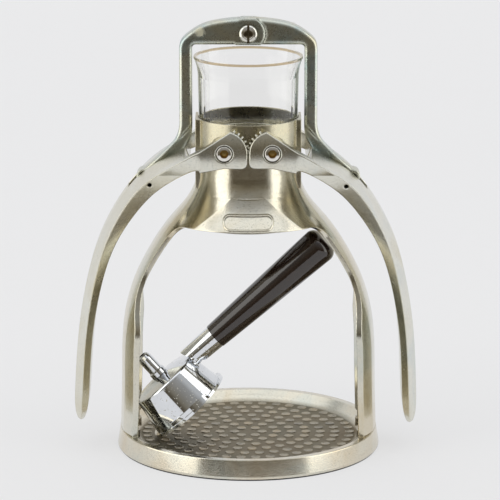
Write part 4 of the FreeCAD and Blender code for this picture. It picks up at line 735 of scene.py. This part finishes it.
def sweep_material():
    """Pale paper that glows a little, and that reflections see only as far as the table."""
    material = bpy.data.materials.new("sweep")
    material.use_nodes = True
    tree = material.node_tree
    tree.nodes.clear()
    tone = ramp(tree, object_noise(tree, 2.0), (0.3, (0.78, 0.78, 0.79)), (0.7, (0.8, 0.8, 0.81)))
    paper = add_node(tree, "ShaderNodeBsdfDiffuse")
    wire(tree, tone, paper.inputs["Color"])
    along = object_axes(tree)[1]
    glow = add_node(tree, "ShaderNodeEmission", {"Strength": 1.0})
    depth = number(tree, "MULTIPLY_ADD", along, 0.25, 0.5)
    wire(tree, ramp(tree, depth, (0.22, (0.78, 0.775, 0.77)), (0.5, (0.86, 0.86, 0.87)),
                    (0.95, (0.97, 0.97, 0.98))), glow.inputs["Color"])
    rays = add_node(tree, "ShaderNodeLightPath")
    shown = number(tree, "MAXIMUM", shown_rays(tree, rays), rays.outputs["Is Glossy Ray"])
    seen = add_node(tree, "ShaderNodeMixShader")
    wire(tree, number(tree, "MULTIPLY", shown, GLOW_SHARE), seen.inputs[0])
    wire(tree, paper.outputs["BSDF"], seen.inputs[1])
    wire(tree, glow.outputs["Emission"], seen.inputs[2])
    coords = add_node(tree, "ShaderNodeTexCoord")
    away = add_node(tree, "ShaderNodeVectorMath", operation="LENGTH")
    wire(tree, coords.outputs["Object"], away.inputs[0])
    beyond = number(tree, "GREATER_THAN", away.outputs["Value"], TABLE_RADIUS)
    in_front = number(tree, "LESS_THAN", along, TABLE_BACK)
    off_table = number(tree, "MULTIPLY", beyond, in_front)
    hidden = number(tree, "MULTIPLY", off_table, mirror_rays(tree, rays))
    clear_away = add_node(tree, "ShaderNodeBsdfTransparent")
    last = add_node(tree, "ShaderNodeMixShader")
    wire(tree, hidden, last.inputs[0])
    wire(tree, seen.outputs[0], last.inputs[1])
    wire(tree, clear_away.outputs[0], last.inputs[2])
    out = add_node(tree, "ShaderNodeOutputMaterial")
    wire(tree, last.outputs[0], out.inputs["Surface"])
    return material


# %% Sweep mesh
def make_sweep():
    """Floor that curves up into a backdrop behind the object."""
    width, front, back, height, bend, steps = 9.0, -4.5, 3.4, 4.0, 0.9, 12
    profile = [(front, 0.0), (back - bend, 0.0)]
    for step in range(1, steps + 1):
        turn = math.radians(90 * step / steps)
        profile.append((back - bend + bend * math.sin(turn), bend - bend * math.cos(turn)))
    profile.append((back, height))
    mesh = bpy.data.meshes.new("sweep")
    corners = [(side * width / 2, y, z) for y, z in profile for side in (-1, 1)]
    faces = [(2 * i, 2 * i + 1, 2 * i + 3, 2 * i + 2) for i in range(len(profile) - 1)]
    mesh.from_pydata(corners, [], faces)
    for polygon in mesh.polygons:
        polygon.use_smooth = True
    sweep = bpy.data.objects.new("sweep", mesh)
    bpy.context.collection.objects.link(sweep)
    mesh.materials.append(sweep_material())
    print("sweep:", len(faces), "faces")


make_sweep()


# %% Lamps
BOX_DISTANCE, BOX_MIDDLE, BOX_HEIGHT = 1.15, 0.35, 2.2
OVERHEAD_AT, OVERHEAD_SIZE = (0, 0.1, 2.2), 3.0
CREAM, NEUTRAL = (1.0, 0.985, 0.93), (0.98, 0.99, 1.0)


def soft_box(name, azimuth, width, brightness):
    """Rectangular lamp at an angle from the front, facing the object, of a given brightness."""
    turn = math.radians(azimuth)
    at = Vector((BOX_DISTANCE * math.sin(turn), -BOX_DISTANCE * math.cos(turn), BOX_MIDDLE))
    data = bpy.data.lights.new(name, "AREA")
    data.shape = "RECTANGLE"
    data.size, data.size_y = width, BOX_HEIGHT
    data.energy = brightness * math.pi * width * BOX_HEIGHT
    data.color = CREAM
    lamp = bpy.data.objects.new(name, data)
    lamp.location = at
    lamp.rotation_mode = "QUATERNION"
    lamp.rotation_quaternion = (Vector((0, 0, BOX_MIDDLE)) - at).to_track_quat("-Z", "Y")
    bpy.context.collection.objects.link(lamp)
    print(name, "power", round(data.energy, 1))


soft_box("soft_box_left", -71, 1.25, 1.32)
soft_box("soft_box_right", 77, 1.1, 1.22)


def overhead(brightness):
    """Square lamp above the object, facing down, of a given brightness."""
    data = bpy.data.lights.new("overhead", "AREA")
    data.size = OVERHEAD_SIZE
    data.energy = brightness * math.pi * OVERHEAD_SIZE ** 2
    data.color = NEUTRAL
    lamp = bpy.data.objects.new("overhead", data)
    lamp.location = OVERHEAD_AT
    bpy.context.collection.objects.link(lamp)
    print("overhead power", round(data.energy, 1))


overhead(0.6)


# %% Room
BACKDROP_TONE = (0.82, 0.82, 0.83)


def dark_room():
    """Room that is dark brown in front, grey at the sides and lighter overhead."""
    world = bpy.data.worlds.new("dark_room")
    bpy.context.scene.world = world
    world.use_nodes = True
    tree = world.node_tree
    tree.nodes.clear()
    coords = add_node(tree, "ShaderNodeTexCoord")
    split = add_node(tree, "ShaderNodeSeparateXYZ")
    wire(tree, coords.outputs["Generated"], split.inputs[0])
    front = ramp(tree, split.outputs["Z"], (0.0, (0.1, 0.085, 0.06)), (0.12, (0.2, 0.18, 0.14)),
                 (0.8, (0.4, 0.41, 0.42)))
    sides = ramp(tree, split.outputs["Z"], (0.0, (0.5, 0.5, 0.48)), (0.8, (0.5, 0.51, 0.52)))
    facing = ramp(tree, number(tree, "MULTIPLY", split.outputs["Y"], -1.0), (0.6, 0.0), (0.75, 1.0))
    room = mix_colour(tree, facing, sides, front)
    rays = add_node(tree, "ShaderNodeLightPath")
    seen = mix_colour(tree, shown_rays(tree, rays), room, BACKDROP_TONE)
    background = add_node(tree, "ShaderNodeBackground", {"Strength": 1.0})
    wire(tree, seen, background.inputs["Color"])
    out = add_node(tree, "ShaderNodeOutputWorld")
    wire(tree, background.outputs[0], out.inputs["Surface"])
    describe("dark room", tree)


dark_room()

# %% Camera
CAMERA_AT, CAMERA_PITCH = (0.00109, -2.0, 0.61), 13.53
CAMERA_LENS, SENSOR_WIDTH = 230.3, 36.0
camera_data = bpy.data.cameras.new("photo_camera")
camera_data.sensor_width = SENSOR_WIDTH
camera_data.lens = CAMERA_LENS
camera = bpy.data.objects.new("photo_camera", camera_data)
camera.location = CAMERA_AT
camera.rotation_euler = (math.radians(90 - CAMERA_PITCH), 0, 0)
bpy.context.collection.objects.link(camera)
bpy.context.scene.camera = camera
bpy.context.scene.view_settings.view_transform = "Standard"
print("camera:", CAMERA_LENS, "mm lens,", CAMERA_PITCH, "degrees down")
